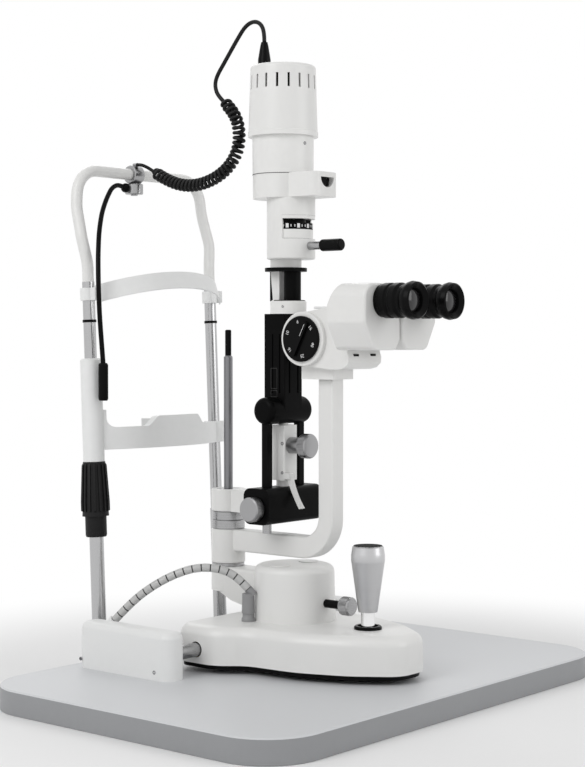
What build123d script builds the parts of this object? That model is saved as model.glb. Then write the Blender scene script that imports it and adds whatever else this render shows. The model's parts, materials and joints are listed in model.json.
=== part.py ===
from build123d import *
import math
import os

# A table-mounted slit lamp. Millimetres. X points to the examiner's right, Y from the examiner
# to the patient, Z up. The origin is the centre of the table top's underside.

# Fits
running_fit = 0.05
free_gap = 0.3
seat_gap = 0.4

# Table top
table_length = 580.0
table_depth = 406.0
table_thickness = 25.0
table_corner = 60.0
insert_radius = 3.0
insert_depth = 15.0
insert_spacing_x = 200.0
insert_spacing_y = 120.0

# Rail covers, racks and the rolling axle
rail_x = 147.0
cover_width = 30.0
cover_front_y = 52.0
cover_back_y = 188.0
cover_height = 50.0
cover_wall = 2.5
cover_corner = 12.0
cover_top_round = 8.0
carriage_travel = 55.0
axle_y = 68.0
axle_height = 24.5
axle_radius = 7.5
rack_module = 1.25
wheel_teeth = 18
wheel_width = 10.0
rack_width = 12.0
pressure_angle = 20.0
rack_teeth = 21
guide_length = 17.0
guide_height = 22.0
guide_lip = 3.0
guide_lip_length = 12.0

# Moving base
base_clearance = 10.0
base_height = 40.0
base_round = 12.0
base_wall = 3.0
base_draft = 1.5
plate_thickness = 5.0
plate_inset = 4.0
foot_radius = 9.0
foot_y = -100.0
bush_radius = 12.0
bush_length = 26.0
bush_x = 82.0

# Drum, neck and pivot boss
drum_y = 17.0
drum_radius = 45.0
drum_height = 60.0
drum_round = 8.0
plug_radius = 11.0
plug_offset = 24.0
pivot_y = 114.0
boss_radius = 19.0
boss_top = 100.0
boss_bottom = 73.0
neck_bottom = 64.0
neck_width = 34.0

# Lift screw and pivot column
screw_radius = 8.0
column_radius = 13.0
column_flange_radius = 18.0
column_flange = 3.4
column_cap = 5.0
hub_radius = 19.0
arm_hub_height = 38.0
ring_height = 9.7
lamp_hub_height = 24.7

# Test rod
test_rod_radius = 5.0
test_rod_length = 149.0
test_tip_radius = 3.5
test_tip_length = 29.0
spigot_radius = 4.0

# Microscope arm
arm_width = 20.0
arm_bottom = 118.0
arm_top = 142.0
arm_post_y = -34.0
arm_post_depth = 20.0
arm_height = 312.0
arm_outer_bend = 44.0
arm_inner_bend = 22.0
bracket_half_width = 18.0
bracket_front_y = -51.0
bracket_back_y = -7.0
bracket_height = 18.0

# Microscope
drum_axis_y = -21.0
drum_axis_height = 355.0
housing_radius = 29.0
housing_half_width = 33.0
mag_drum_radius = 22.0
mag_knob_radius = 24.25
mag_knob_thickness = 3.0
beam_x = 11.0
beam_radius = 7.0
objective_radius = 15.0
lens_thickness = 4.8
lens_bulge = 2.8
body_half_width = 28.0
body_front_y = -78.0
prism_gap = 0.4
prism_depth = 48.6
prism_pivot_x = 17.0
prism_pivot_height = 362.0
prism_pin_radius = 6.0
prism_pin_length = 8.0
eyepiece_x = 32.0
eyepiece_height = 394.0
eyepiece_radius = 18.0
eyecup_radius = 19.5
eyepiece_length = 45.0
eyepiece_spigot = 15.0
spigot_depth = 8.0

# Illumination tower
tower_y = 33.0
hinge_height = 172.0
lug_radius = 11.0
lug_half_width = 12.0
yoke_half_width = 45.0
yoke_depth = 36.0
yoke_bottom = 155.0
yoke_top = 194.0
hinge_pin_radius = 5.0
width_knob_radius = 13.0
width_knob_face = 58.0
stem_size = 22.0
stem_bottom = 201.0
stem_top = 261.0
stem_neck_radius = 5.5
rod_x = 27.0
rod_size = 8.0
cross_radius = 14.75
cross_height = 277.0
cross_half_length = 35.0
block_size = 30.0
block_top = 382.0
mirror_height = 365.0
mirror_inset = 4.0
mirror_width = 19.0
mirror_length = 22.0
mirror_thickness = 2.0
collar_height = 15.0
collar_radius = 19.7
collar_y = 25.5
optic_y = 21.7
barrel_radius = 9.3
flange_bottom = 428.0
flange_top = 432.0
flange_radius = 23.0
flange_y = 29.0
slit_bottom = 441.0
slit_top = 507.0
slit_radius = 26.3
slit_cut_y = 13.5
ring_bottom = 463.0
ring_top = 480.0
window_top = 488.0
ring_radius = 23.7
lever_height = 455.0
lever_rod_radius = 4.5
lever_grip_radius = 6.5
lever_end_y = -49.0
lever_grip_y = -21.0
aperture_top = 533.0
aperture_radius = 33.0
aperture_half_width = 21.0
aperture_front_y = -29.0
wheel_radius = 16.0
wheel_thickness = 9.0
window_radius = 11.0
lamp_radius = 33.35
lamp_top = 574.0
cap_bottom_radius = 38.2
cap_top_radius = 35.5
cap_top = 651.0
cap_wall = 3.0
vent_count = 18
vent_width = 2.6
vent_height = 15.0
vent_first_angle = 10.0
bulb_radius = 8.0
lever_half_width = 3.0
lever_x = -6.0
lever_eye_radius = 3.2
lever_pin_radius = 1.5
lever_lug = 2.2
centring_height = 239.0
centring_knob_radius = 13.0
centring_end_y = -7.0
centring_knob_length = 12.0

# Power plug and its leads
plug_y = 60.0
plug_base_radius = 7.0
plug_top_radius = 4.5
plug_length = 29.0
lead_diameter = 4.6
coil_diameter = 15.0
tail_diameter = 2.6
conduit_diameter = 9.0

# Joystick and lock knob
joystick_y = -84.0
joystick_pivot = 38.0
joystick_hole = 11.2
gimbal_radius = 15.0
gimbal_height = 8.0
stem_radius = 7.35
grip_bottom = 68.0
grip_top = 138.0
lock_height = 71.0
lock_knob_radius = 9.75
lock_knob_length = 13.0
lock_end_y = -63.0

# Chin rest frame, measured along its posts, which lean towards the patient
post_x = 100.0
post_lean = 2.4
post_foot_y = 217.7
post_lower_radius = 8.0
post_radius = 7.0
post_step = 150.0
post_top = 419.0
foot_half_width = 15.0
foot_rise = 6.0
foot_depth = 29.0
tube_radius = 6.5
tube_bend_start = 440.0
tube_wide_x = 105.0
tube_wide_y = 240.0
tube_wide_height = 467.0
tube_back_x = 103.0
tube_back_y = 251.0
tube_back_height = 504.0
tube_top_y = 253.0
tube_top = 546.0
tube_corner = 31.0
ring_level = 375.0
clip_level = 405.0
clip_height = 14.0
band_height = 20.0
band_thickness = 2.2
band_bow = 45.0
band_rise = 16.0
band_start_y = -13.5
sleeve_bottom = 156.3
sleeve_top = 217.0
sleeve_end_radius = 14.0
sleeve_radius = 16.2
sleeve_ribs = 16
collar_bottom = 133.0
chin_sleeve_radius = 12.0
chin_sleeve_top = 333.0
bar_bottom = 230.0
bar_height = 25.0
bar_thickness = 9.0
bar_bow = 36.0
bar_top = bar_bottom + bar_height
gusset_x = -90.0
gusset_radius = 10.0
cup_half_width = 34.0
cup_depth = 40.0
cup_top = 266.0

top = table_thickness


def level(height):
    """Z of a height that is measured from the table's surface."""
    return top + height


def cylinder(radius, bottom, height, x=0.0, y=0.0):
    """Upright cylinder that stands on the level bottom."""
    return Pos(x, y, bottom) * Cylinder(radius, height, align=(Align.CENTER, Align.CENTER, Align.MIN))


def rod_x_axis(radius, start, end, y, z):
    """Cylinder along X from start to end."""
    turn = Pos(start, y, z) * Rot(0, 90, 0)
    return turn * Cylinder(radius, end - start, align=(Align.CENTER, Align.CENTER, Align.MIN))


def rod_y_axis(radius, start, end, x, z):
    """Cylinder along Y from start to end."""
    turn = Pos(x, start, z) * Rot(-90, 0, 0)
    return turn * Cylinder(radius, end - start, align=(Align.CENTER, Align.CENTER, Align.MIN))


def box(x0, x1, y0, y1, z0, z1):
    """Box between two corners."""
    return Pos(x0, y0, z0) * Box(x1 - x0, y1 - y0, z1 - z0, align=(Align.MIN, Align.MIN, Align.MIN))


def turned(profile, x=0.0, y=0.0):
    """Solid of revolution about a vertical line from (radius, z) points."""
    face = Plane.XZ * make_face(Polyline(*profile, close=True))
    return Pos(x, y, 0) * revolve(face, Axis.Z)


def turned_along_y(profile, x, z):
    """Solid of revolution about a line along Y from (radius, y) points."""
    face = make_face(Polyline(*profile, close=True))
    return Pos(x, 0, z) * revolve(face, Axis.Y)


def both_sides(shape):
    """The shape and its mirror image across the plane X = 0, kept as separate solids."""
    return Compound(children=list(shape.solids()) + list(mirror(shape, about=Plane.YZ).solids()))


def group(*shapes):
    """Several separate solids in one node."""
    solids = []
    for shape in shapes:
        solids.extend(shape.solids())
    return Compound(children=solids)


# Table

def table_top():
    plate = extrude(RectangleRounded(table_length, table_depth, table_corner), table_thickness)
    plate = chamfer(plate.faces().sort_by(Axis.Z)[-1].edges(), 1.5)
    for x in (-insert_spacing_x / 2, insert_spacing_x / 2):
        for y in (-insert_spacing_y / 2, insert_spacing_y / 2):
            plate -= cylinder(insert_radius, 0, insert_depth, x, y)
    return plate


# Rails

axle_z = level(axle_height)
wheel_pitch_radius = rack_module * wheel_teeth / 2
rack_pitch = math.pi * rack_module
addendum = rack_module
dedendum = 1.25 * rack_module
backlash = 0.12 * rack_module
slot_front_y = axle_y - guide_length / 2 - free_gap
slot_back_y = axle_y + carriage_travel + guide_length / 2 + free_gap
slot_half_height = guide_height / 2 + free_gap
cover_inner_x = rail_x - cover_width / 2
cover_outer_x = rail_x + cover_width / 2

# The conduit ends in a slanting ferrule on the left cover's inner shoulder.
conduit_points = [
    (-45.5, 44, level(85)),
    (-53, 53, level(98)),
    (-65, 66, level(107)),
    (-82, 84, level(109)),
    (-98, 104, level(101)),
    (-112, 125, level(87)),
    (-122, 146, level(69)),
    (-130, 163, level(49)),
]


def slanted(radius, start, toward, length):
    """Cylinder from start in the direction of toward."""
    direction = Vector(*toward) - Vector(*start)
    plane = Plane(origin=start, z_dir=direction)
    return extrude(plane * Circle(radius), length)


def rail_cover():
    outer = box(cover_inner_x, cover_outer_x, cover_front_y, cover_back_y, top, level(cover_height))
    outer = fillet(outer.edges().filter_by(Axis.Z), cover_corner)
    outer = fillet(outer.faces().sort_by(Axis.Z)[-1].edges(), cover_top_round)
    inner = box(cover_inner_x + cover_wall, cover_outer_x - cover_wall, cover_front_y + cover_wall,
                cover_back_y - cover_wall, top, level(cover_height) - cover_wall)
    inner = fillet(inner.edges().filter_by(Axis.Z), cover_corner - cover_wall)
    inner = fillet(inner.faces().sort_by(Axis.Z)[-1].edges(), cover_top_round - cover_wall)
    slot = box(cover_inner_x - 1, cover_inner_x + cover_wall + guide_lip, slot_front_y, slot_back_y,
               axle_z - slot_half_height, axle_z + slot_half_height)
    return outer - inner - slot


def rail_covers():
    covers = both_sides(rail_cover())
    left, right = sorted(covers.solids(), key=lambda solid: solid.center().X)
    end = Vector(*conduit_points[-1])
    ferrule = slanted(6.0, end, end + end - Vector(*conduit_points[-2]), 11)
    return group(left + ferrule, right)


def rail_racks():
    pitch_z = axle_z - wheel_pitch_radius
    root_z = pitch_z - dedendum - 0.1
    tip_z = pitch_z + addendum
    slope = math.tan(math.radians(pressure_angle))
    half = rack_pitch / 4 - backlash
    half_root = half + (pitch_z - root_z) * slope
    half_tip = half - (tip_z - pitch_z) * slope
    first = axle_y - 2 * rack_pitch
    last = first + (rack_teeth - 1) * rack_pitch
    points = [(first - rack_pitch / 2, top), (first - rack_pitch / 2, root_z)]
    for tooth in range(rack_teeth):
        y = first + tooth * rack_pitch
        points += [(y - half_root, root_z), (y - half_tip, tip_z), (y + half_tip, tip_z), (y + half_root, root_z)]
    points += [(last + rack_pitch / 2, root_z), (last + rack_pitch / 2, top)]
    face = Plane.YZ * make_face(Polyline(*points, close=True))
    rack = Pos(rail_x - rack_width / 2, 0, 0) * extrude(face, rack_width)
    return both_sides(rack)


def gear_outline():
    """Involute wheel whose gap, not a tooth, points straight down."""
    alpha = math.radians(pressure_angle)
    base_radius = wheel_pitch_radius * math.cos(alpha)
    root_radius = wheel_pitch_radius - dedendum - 0.1
    tip_radius = wheel_pitch_radius + addendum
    half_pitch = (rack_pitch / 4 - backlash) / wheel_pitch_radius
    at_pitch = math.tan(alpha) - alpha
    points = []
    for tooth in range(wheel_teeth):
        centre = math.radians(-90) + math.pi / wheel_teeth + tooth * 2 * math.pi / wheel_teeth
        flank = []
        for radius in (root_radius, base_radius + 0.3, wheel_pitch_radius, tip_radius):
            roll = math.acos(min(1.0, base_radius / radius))
            flank.append((radius, half_pitch + at_pitch - (math.tan(roll) - roll)))
        for radius, angle in flank:
            points.append((radius * math.cos(centre - angle), radius * math.sin(centre - angle)))
        for radius, angle in reversed(flank):
            points.append((radius * math.cos(centre + angle), radius * math.sin(centre + angle)))
    return points


def gear_wheels():
    face = Plane.YZ * make_face(Polyline(*gear_outline(), close=True))
    wheel = Pos(rail_x - wheel_width / 2, axle_y, axle_z) * extrude(face, wheel_width)
    wheel -= rod_x_axis(axle_radius, 0, rail_x + wheel_width, axle_y, axle_z)
    return both_sides(wheel)


axle_half_length = rail_x + wheel_width / 2 + 2


def axle():
    shaft = rod_x_axis(axle_radius, -axle_half_length, axle_half_length, axle_y, axle_z)
    return chamfer(shaft.edges().filter_by(GeomType.CIRCLE), 1.0)


def axle_guides():
    web = box(cover_inner_x, cover_inner_x + cover_wall + guide_lip, axle_y - guide_length / 2,
              axle_y + guide_length / 2, axle_z - guide_height / 2, axle_z + guide_height / 2)
    lip_x = cover_inner_x + cover_wall + free_gap
    lip = box(lip_x, cover_inner_x + cover_wall + guide_lip, axle_y - guide_lip_length / 2,
              axle_y + guide_lip_length / 2, axle_z - guide_height / 2 - 3, axle_z + guide_height / 2 + 3)
    guide = web + lip - rod_x_axis(axle_radius + running_fit, 0, rail_x, axle_y, axle_z)
    return both_sides(guide)


# Base

base_bottom_z = level(base_clearance)
base_top_z = base_bottom_z + base_height


def base_outline():
    """Plan of the base: a wide patient end, a waist at each side and a round nose."""
    corners = [(22, -144, 30), (54, -100, 100), (75, -46, 120), (80, 16, 40), (103, 42, 40), (103, 103, 21)]
    points = [(x, y) for x, y, _ in corners] + [(-x, y) for x, y, _ in reversed(corners)]
    radii = [radius for _, _, radius in corners] + [radius for _, _, radius in reversed(corners)]
    return make_face(FilletPolyline(*points, close=True, radius=radii))


def base_shell():
    outline = base_outline()
    outer = Pos(0, 0, base_bottom_z) * extrude(outline, base_height, taper=base_draft)
    outer = fillet(outer.faces().sort_by(Axis.Z)[-1].edges(), base_round)
    inner = Pos(0, 0, base_bottom_z) * extrude(
        offset(outline, -base_wall), base_height - base_wall, taper=base_draft)
    inner = fillet(inner.faces().sort_by(Axis.Z)[-1].edges(), base_round - base_wall)
    shell = outer - inner
    shell -= rod_x_axis(axle_radius + 1, -150, 150, axle_y, axle_z)
    shell -= cylinder(joystick_hole, base_bottom_z, base_height + 1, 0, joystick_y)
    return shell


def base_plate():
    """Black underplate with the saddles that hold the axle's bushes and the sliding foot."""
    outline = offset(base_outline(), -plate_inset)
    plate = Pos(0, 0, base_bottom_z - plate_thickness) * extrude(outline, plate_thickness)
    saddle = box(bush_x - 8, bush_x + 8, axle_y - bush_radius - 4, axle_y + bush_radius + 4,
                 base_bottom_z - 1, axle_z + 4)
    plate += saddle
    plate += mirror(saddle, about=Plane.YZ)
    plate -= rod_x_axis(bush_radius, -150, 150, axle_y, axle_z)
    plate += cylinder(foot_radius, top + free_gap, base_clearance - plate_thickness, 0, foot_y)
    post = box(gimbal_radius + 0.6, gimbal_radius + 5, joystick_y - 5, joystick_y + 5,
               base_bottom_z - 1, level(joystick_pivot) + 5)
    post -= rod_x_axis(2 + running_fit, 0, 60, joystick_y, level(joystick_pivot))
    return plate + post + mirror(post, about=Plane.YZ)


def axle_bushes():
    bush = rod_x_axis(bush_radius, bush_x - bush_length / 2, bush_x + bush_length / 2, axle_y, axle_z)
    bush -= rod_x_axis(axle_radius + running_fit, 0, 150, axle_y, axle_z)
    return both_sides(bush)


def base_drum():
    """Drum with its cast neck and the boss that holds the lift screw."""
    drum = turned([(0, base_top_z), (drum_radius, base_top_z), (drum_radius - 1.5, base_top_z + drum_height),
                   (0, base_top_z + drum_height)], 0, drum_y)
    drum = fillet(drum.faces().sort_by(Axis.Z)[-1].edges(), drum_round)
    side = make_face(Polyline((drum_y, base_top_z + 6), (drum_y + drum_radius - 3, base_top_z + 6),
                              (95, level(neck_bottom)), (pivot_y, level(boss_bottom)),
                              (pivot_y, level(boss_top)), (drum_y, level(boss_top)), close=True))
    neck = Pos(-neck_width / 2, 0, 0) * extrude(Plane.YZ * side, neck_width)
    neck = fillet(neck.edges().filter_by(GeomType.LINE).filter_by(
        lambda edge: abs(edge.center().Y - 70) < 30 and abs(edge.center().Z - level(boss_top)) < 1), 4)
    boss = cylinder(boss_radius, level(boss_bottom), boss_top - boss_bottom, 0, pivot_y)
    body = drum + neck + boss
    for side_sign in (-1, 1):
        body += cylinder(plug_radius, base_top_z + drum_height, 0.8, side_sign * plug_offset, drum_y)
    body -= cylinder(screw_radius + running_fit, level(boss_bottom) + 4, boss_top, 0, pivot_y)
    body -= rod_y_axis(4.5 + running_fit, drum_y - drum_radius - 1, drum_y - drum_radius + 12, 0, level(lock_height))
    return body


def conduit_connector():
    x, y, end_z = conduit_points[0]
    body = turned([(0, base_top_z), (7.2, base_top_z), (7.2, base_top_z + 3), (6.2, base_top_z + 5),
                   (6.2, base_top_z + 8), (7, base_top_z + 9), (6.6, base_top_z + 30), (0, base_top_z + 31)], x, y)
    start = Vector(*conduit_points[0])
    direction = (Vector(*conduit_points[1]) - start).normalized()
    neck_start = start - direction * 9
    neck = extrude(Plane(origin=neck_start, z_dir=direction) * Circle(4.5), 9)
    return body + neck


def joystick_collar():
    ring = cylinder(14.75, base_top_z, 3.4, 0, joystick_y)
    ring = chamfer(ring.faces().sort_by(Axis.Z)[-1].edges(), 1.2)
    return ring - cylinder(joystick_hole, base_top_z - 1, 6, 0, joystick_y)


def lock_knob():
    z = level(lock_height)
    knob_back = lock_end_y + lock_knob_length
    shaft = rod_y_axis(4.5, knob_back - 1, drum_y - drum_radius + 11, 0, z)
    knob = rod_y_axis(lock_knob_radius, lock_end_y, knob_back, 0, z)
    knob = chamfer(knob.edges().filter_by(GeomType.CIRCLE), 1.0)
    return shaft + knob


# Joystick

pivot_z = level(joystick_pivot)


def joystick_ball():
    """Gimbal ring: pins along X in the base, holes along Y for the stem's pins."""
    ring = cylinder(gimbal_radius, pivot_z - gimbal_height / 2, gimbal_height, 0, joystick_y)
    ring -= cylinder(gimbal_radius - 4, pivot_z - gimbal_height, 2 * gimbal_height, 0, joystick_y)
    ring -= rod_y_axis(2 + running_fit, joystick_y - 20, joystick_y + 20, 0, pivot_z)
    pins = rod_x_axis(2, gimbal_radius - 2, gimbal_radius + 5, joystick_y, pivot_z)
    return ring + pins + mirror(pins, about=Plane.YZ)


def joystick_stem():
    stem = turned([(0, pivot_z - 8), (8, pivot_z - 8), (8, pivot_z + 8), (stem_radius, level(50)),
                   (stem_radius, level(grip_bottom) - free_gap), (4.5, level(grip_bottom) - free_gap),
                   (4.5, level(118)), (0, level(118))], 0, joystick_y)
    pins = rod_y_axis(2, joystick_y - gimbal_radius + 1, joystick_y + gimbal_radius - 1, 0, pivot_z)
    return stem + pins


def joystick_grip():
    """Tapered turned grip that is twisted to raise the instrument."""
    grip = turned([(4.5 + running_fit, level(grip_bottom)), (10, level(grip_bottom)), (10.6, level(grip_bottom) + 3),
                   (17.4, level(119)), (17.9, level(122)), (17.9, level(128)), (16.6, level(grip_top) - 1.5),
                   (15, level(grip_top)), (0, level(grip_top)), (0, level(118) + 1),
                   (4.5 + running_fit, level(118) + 1)], 0, joystick_y)
    return grip


# Pivot

column_bottom_z = level(boss_top) + free_gap
hub_bottom_z = column_bottom_z + column_flange + free_gap
arm_ring_z = hub_bottom_z + arm_hub_height + free_gap
lamp_hub_z = arm_ring_z + 2 * ring_height + free_gap
column_top_z = lamp_hub_z + lamp_hub_height


def lift_screw():
    """Screw that turns in the boss; the column's nut rides up it."""
    bottom = level(boss_bottom) + 4 + free_gap
    screw = cylinder(screw_radius, bottom, column_top_z - column_cap - 2 - bottom, 0, pivot_y)
    return chamfer(screw.edges().filter_by(GeomType.CIRCLE), 0.8)


def pivot_column():
    """Sleeve on the screw that carries both arms, with the two scale rings on it."""
    sleeve = turned([(screw_radius + running_fit, column_bottom_z), (column_flange_radius, column_bottom_z),
                     (column_flange_radius, column_bottom_z + column_flange),
                     (column_radius, column_bottom_z + column_flange), (column_radius, column_top_z),
                     (spigot_radius + running_fit, column_top_z), (spigot_radius + running_fit, column_top_z - column_cap),
                     (screw_radius + running_fit, column_top_z - column_cap)], 0, pivot_y)
    rings = []
    for number, radius in enumerate((18.6, 18.0)):
        ring = cylinder(radius, arm_ring_z + number * ring_height, ring_height, 0, pivot_y)
        ring = chamfer(ring.edges().filter_by(GeomType.CIRCLE), 0.6)
        rings.append(ring - cylinder(column_radius, arm_ring_z - 1, 40, 0, pivot_y))
    return group(sleeve, *rings)


def test_rod():
    base = column_top_z + free_gap
    body = turned([(0, base - column_cap), (spigot_radius, base - column_cap), (spigot_radius, base),
                   (test_rod_radius, base), (test_rod_radius, base + test_rod_length - 1.5),
                   (test_tip_radius, base + test_rod_length), (test_tip_radius, base + test_rod_length + test_tip_length - 1),
                   (test_tip_radius - 1, base + test_rod_length + test_tip_length),
                   (0, base + test_rod_length + test_tip_length)], 0, pivot_y)
    return body


def hub(bottom, height):
    ring = cylinder(hub_radius, bottom, height, 0, pivot_y)
    return chamfer(ring.edges().filter_by(GeomType.CIRCLE), 1.0)


# Microscope

drum_axis_z = level(drum_axis_height)


def microscope_arm():
    """Arm that runs under the lamp tower and turns up in front of it."""
    outer_y = arm_post_y - arm_post_depth / 2
    inner_y = arm_post_y + arm_post_depth / 2
    low = level(arm_bottom)
    high = level(arm_top)
    lines = [
        Line((pivot_y, low), (outer_y + arm_outer_bend, low)),
        CenterArc((outer_y + arm_outer_bend, low + arm_outer_bend), arm_outer_bend, 270, -90),
        Line((outer_y, low + arm_outer_bend), (outer_y, level(arm_height))),
        Line((outer_y, level(arm_height)), (inner_y, level(arm_height))),
        Line((inner_y, level(arm_height)), (inner_y, high + arm_inner_bend)),
        CenterArc((inner_y + arm_inner_bend, high + arm_inner_bend), arm_inner_bend, 180, 90),
        Line((inner_y + arm_inner_bend, high), (pivot_y, high)),
        Line((pivot_y, high), (pivot_y, low)),
    ]
    bar = Pos(-arm_width / 2, 0, 0) * extrude(Plane.YZ * make_face(lines), arm_width)
    sides = bar.faces().sort_by(Axis.X)
    bar = fillet(sides[0].edges() + sides[-1].edges(), 2.5)
    arm = bar + hub(hub_bottom_z, arm_hub_height)
    return arm - cylinder(column_radius + running_fit, hub_bottom_z - 1, 60, 0, pivot_y)


def microscope_body():
    """Main casting: the drum housing across X and the belly towards the examiner."""
    housing = rod_x_axis(housing_radius, -housing_half_width, housing_half_width, drum_axis_y, drum_axis_z)
    housing = fillet(housing.edges().filter_by(GeomType.CIRCLE), 1.5)
    profile = make_face(Polyline((drum_axis_y, level(383.5)), (-45, level(387)), (body_front_y, level(387)),
                                 (body_front_y, level(341)), (-80, level(336)), (-79.5, level(330)),
                                 (-74, level(325)), (-66, level(323)), (-53, level(323)),
                                 (drum_axis_y, level(326.5)), close=True))
    belly = Pos(-body_half_width, 0, 0) * extrude(Plane.YZ * profile, 2 * body_half_width)
    pin = rod_y_axis(prism_pin_radius, body_front_y - prism_pin_length, body_front_y + 1, prism_pivot_x,
                     level(prism_pivot_height))
    body = housing + belly + pin + mirror(pin, about=Plane.YZ)
    body -= rod_x_axis(mag_drum_radius + running_fit, -60, 60, drum_axis_y, drum_axis_z)
    for x in (-beam_x, beam_x):
        body -= rod_y_axis(beam_radius, body_front_y - 1, drum_axis_y, x, drum_axis_z)
    body -= rod_y_axis(objective_radius, drum_axis_y, drum_axis_y + housing_radius + 5, 0, drum_axis_z)
    return body


def microscope_bracket():
    blank = box(-bracket_half_width, bracket_half_width, bracket_front_y, bracket_back_y,
                level(arm_height), level(arm_height) + bracket_height)
    blank = fillet(blank.edges().filter_by(Axis.Z), 2)
    return blank - microscope_body()


def objective_lens():
    """Round objective in the mouth of the drum housing, clear of the magnification drum."""
    back = drum_axis_y + mag_drum_radius + 0.8
    blank = rod_y_axis(objective_radius, back, back + lens_thickness, 0, drum_axis_z)
    curve = (objective_radius**2 + lens_bulge**2) / (2 * lens_bulge)
    ball = Pos(0, back + lens_thickness - curve, drum_axis_z) * Sphere(curve)
    return blank & ball


def magnification_drum():
    """Drum of paired lenses; the bores let the two beams through."""
    drum = rod_x_axis(mag_drum_radius, -housing_half_width, housing_half_width, drum_axis_y, drum_axis_z)
    for x in (-beam_x, beam_x):
        drum -= rod_y_axis(beam_radius, drum_axis_y - 40, drum_axis_y + 40, x, drum_axis_z)
        drum -= cylinder(beam_radius - 1, drum_axis_z - 40, 80, x, drum_axis_y)
    return drum


def magnification_knobs():
    start = housing_half_width + free_gap
    disc = rod_x_axis(mag_knob_radius, start, start + mag_knob_thickness, drum_axis_y, drum_axis_z)
    disc = chamfer(disc.faces().sort_by(Axis.X)[-1].edges(), 0.8)
    boss = rod_x_axis(mag_knob_radius - 6, housing_half_width, start, drum_axis_y, drum_axis_z)
    grip = Pos(start + mag_knob_thickness, drum_axis_y, drum_axis_z) * Rot(28, 0, 0) * Box(
        6, 6, 40, align=(Align.CENTER, Align.CENTER, Align.CENTER))
    grip = fillet(grip.edges().filter_by(Axis.X), 1.5)
    return both_sides(disc + boss + grip)


def prism_housing():
    """Right housing: narrow at its waist, so that the pair can swing for the eye distance."""
    back = body_front_y - prism_gap
    outline = FilletPolyline((1.2, level(354)), (9, level(343.5)), (46, level(343.5)), (62, level(372)),
                             (62, level(412)), (13, level(412)), (1.2, level(372)),
                             close=True, radius=[5, 5, 9, 8, 15, 10, 8])
    face = Plane.XZ * make_face(outline)
    housing = Pos(0, back, 0) * extrude(face, prism_depth)
    wedge = make_face(Polyline((back + 1, level(388)), (back + 1, level(420)), (back - 15, level(420)), close=True))
    housing -= extrude(Plane.YZ * wedge, 80)
    housing = fillet(housing.faces().sort_by(Axis.Y)[0].edges(), 3)
    front = back - prism_depth
    housing -= rod_y_axis(prism_pin_radius + running_fit, back - prism_pin_length - 1, back + 1, prism_pivot_x,
                          level(prism_pivot_height))
    housing -= rod_y_axis(eyepiece_spigot + running_fit, front - 1, front + spigot_depth, eyepiece_x, level(eyepiece_height))
    return housing


def left_prism_housing():
    return mirror(prism_housing(), about=Plane.YZ)


def right_prism_housing():
    return prism_housing()


def eyepiece(x):
    front = body_front_y - prism_gap - prism_depth
    base = front - free_gap
    end = front - eyepiece_length
    profile = [(0, front + spigot_depth - 1), (eyepiece_spigot, front + spigot_depth - 1), (eyepiece_spigot, base),
               (eyepiece_radius - 1, base), (eyepiece_radius - 1, base - 4), (eyepiece_radius, base - 5),
               (eyepiece_radius, base - 12), (eyepiece_radius - 1.5, base - 13.5), (eyepiece_radius - 1.5, base - 16),
               (eyepiece_radius, base - 17.5), (eyepiece_radius, base - 24), (eyepiece_radius - 2, base - 27),
               (eyepiece_radius - 2, base - 30), (eyecup_radius - 1, base - 34), (eyecup_radius, base - 38),
               (eyecup_radius - 1, end + 1), (eyecup_radius - 2.5, end), (eyecup_radius - 7, end + 4),
               (eyecup_radius - 8, end + 8), (0, end + 8)]
    return turned_along_y(profile, x, level(eyepiece_height))


# Illumination

hinge_z = level(hinge_height)


def illumination_arm():
    """Arm from the pivot to the tilt hinge's lug."""
    side = make_face(Polyline((pivot_y, lamp_hub_z), (pivot_y - 30, lamp_hub_z), (tower_y, hinge_z - lug_radius),
                              (tower_y, hinge_z + lug_radius), (pivot_y - 30, column_top_z), (pivot_y, column_top_z),
                              close=True))
    bar = Pos(-lug_half_width, 0, 0) * extrude(Plane.YZ * side, 2 * lug_half_width)
    lug = rod_x_axis(lug_radius, -lug_half_width, lug_half_width, tower_y, hinge_z)
    arm = bar + lug + hub(lamp_hub_z, lamp_hub_height)
    arm -= rod_x_axis(hinge_pin_radius + running_fit, -60, 60, tower_y, hinge_z)
    return arm - cylinder(column_radius + running_fit, lamp_hub_z - 5, 60, 0, pivot_y)


def tilt_yoke():
    """Black hinge body around the arm's lug."""
    yoke = box(-yoke_half_width, yoke_half_width, tower_y - yoke_depth / 2, tower_y + yoke_depth / 2,
               level(yoke_bottom), level(yoke_top))
    yoke = fillet(yoke.edges().filter_by(Axis.X), 9)
    yoke -= box(-lug_half_width - seat_gap, lug_half_width + seat_gap, tower_y, tower_y + yoke_depth,
                level(yoke_bottom) - 1, hinge_z + lug_radius + 2.4)
    yoke -= rod_x_axis(lug_radius + seat_gap, -lug_half_width - seat_gap, lug_half_width + seat_gap, tower_y, hinge_z)
    yoke -= rod_x_axis(hinge_pin_radius + running_fit, -60, 60, tower_y, hinge_z)
    return yoke


def slit_width_knobs():
    """Shaft through the hinge with a milled knob at each end."""
    shaft = rod_x_axis(hinge_pin_radius, -width_knob_face + 2, width_knob_face - 2, tower_y, hinge_z)
    knob = rod_x_axis(width_knob_radius, yoke_half_width + free_gap, width_knob_face, tower_y, hinge_z)
    knob = chamfer(knob.edges().filter_by(GeomType.CIRCLE), 1.2)
    return shaft + knob + mirror(knob, about=Plane.YZ)


def cross_cylinder():
    bar = rod_x_axis(cross_radius, -cross_half_length, cross_half_length, tower_y, level(cross_height))
    return fillet(bar.edges().filter_by(GeomType.CIRCLE), 6)


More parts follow.
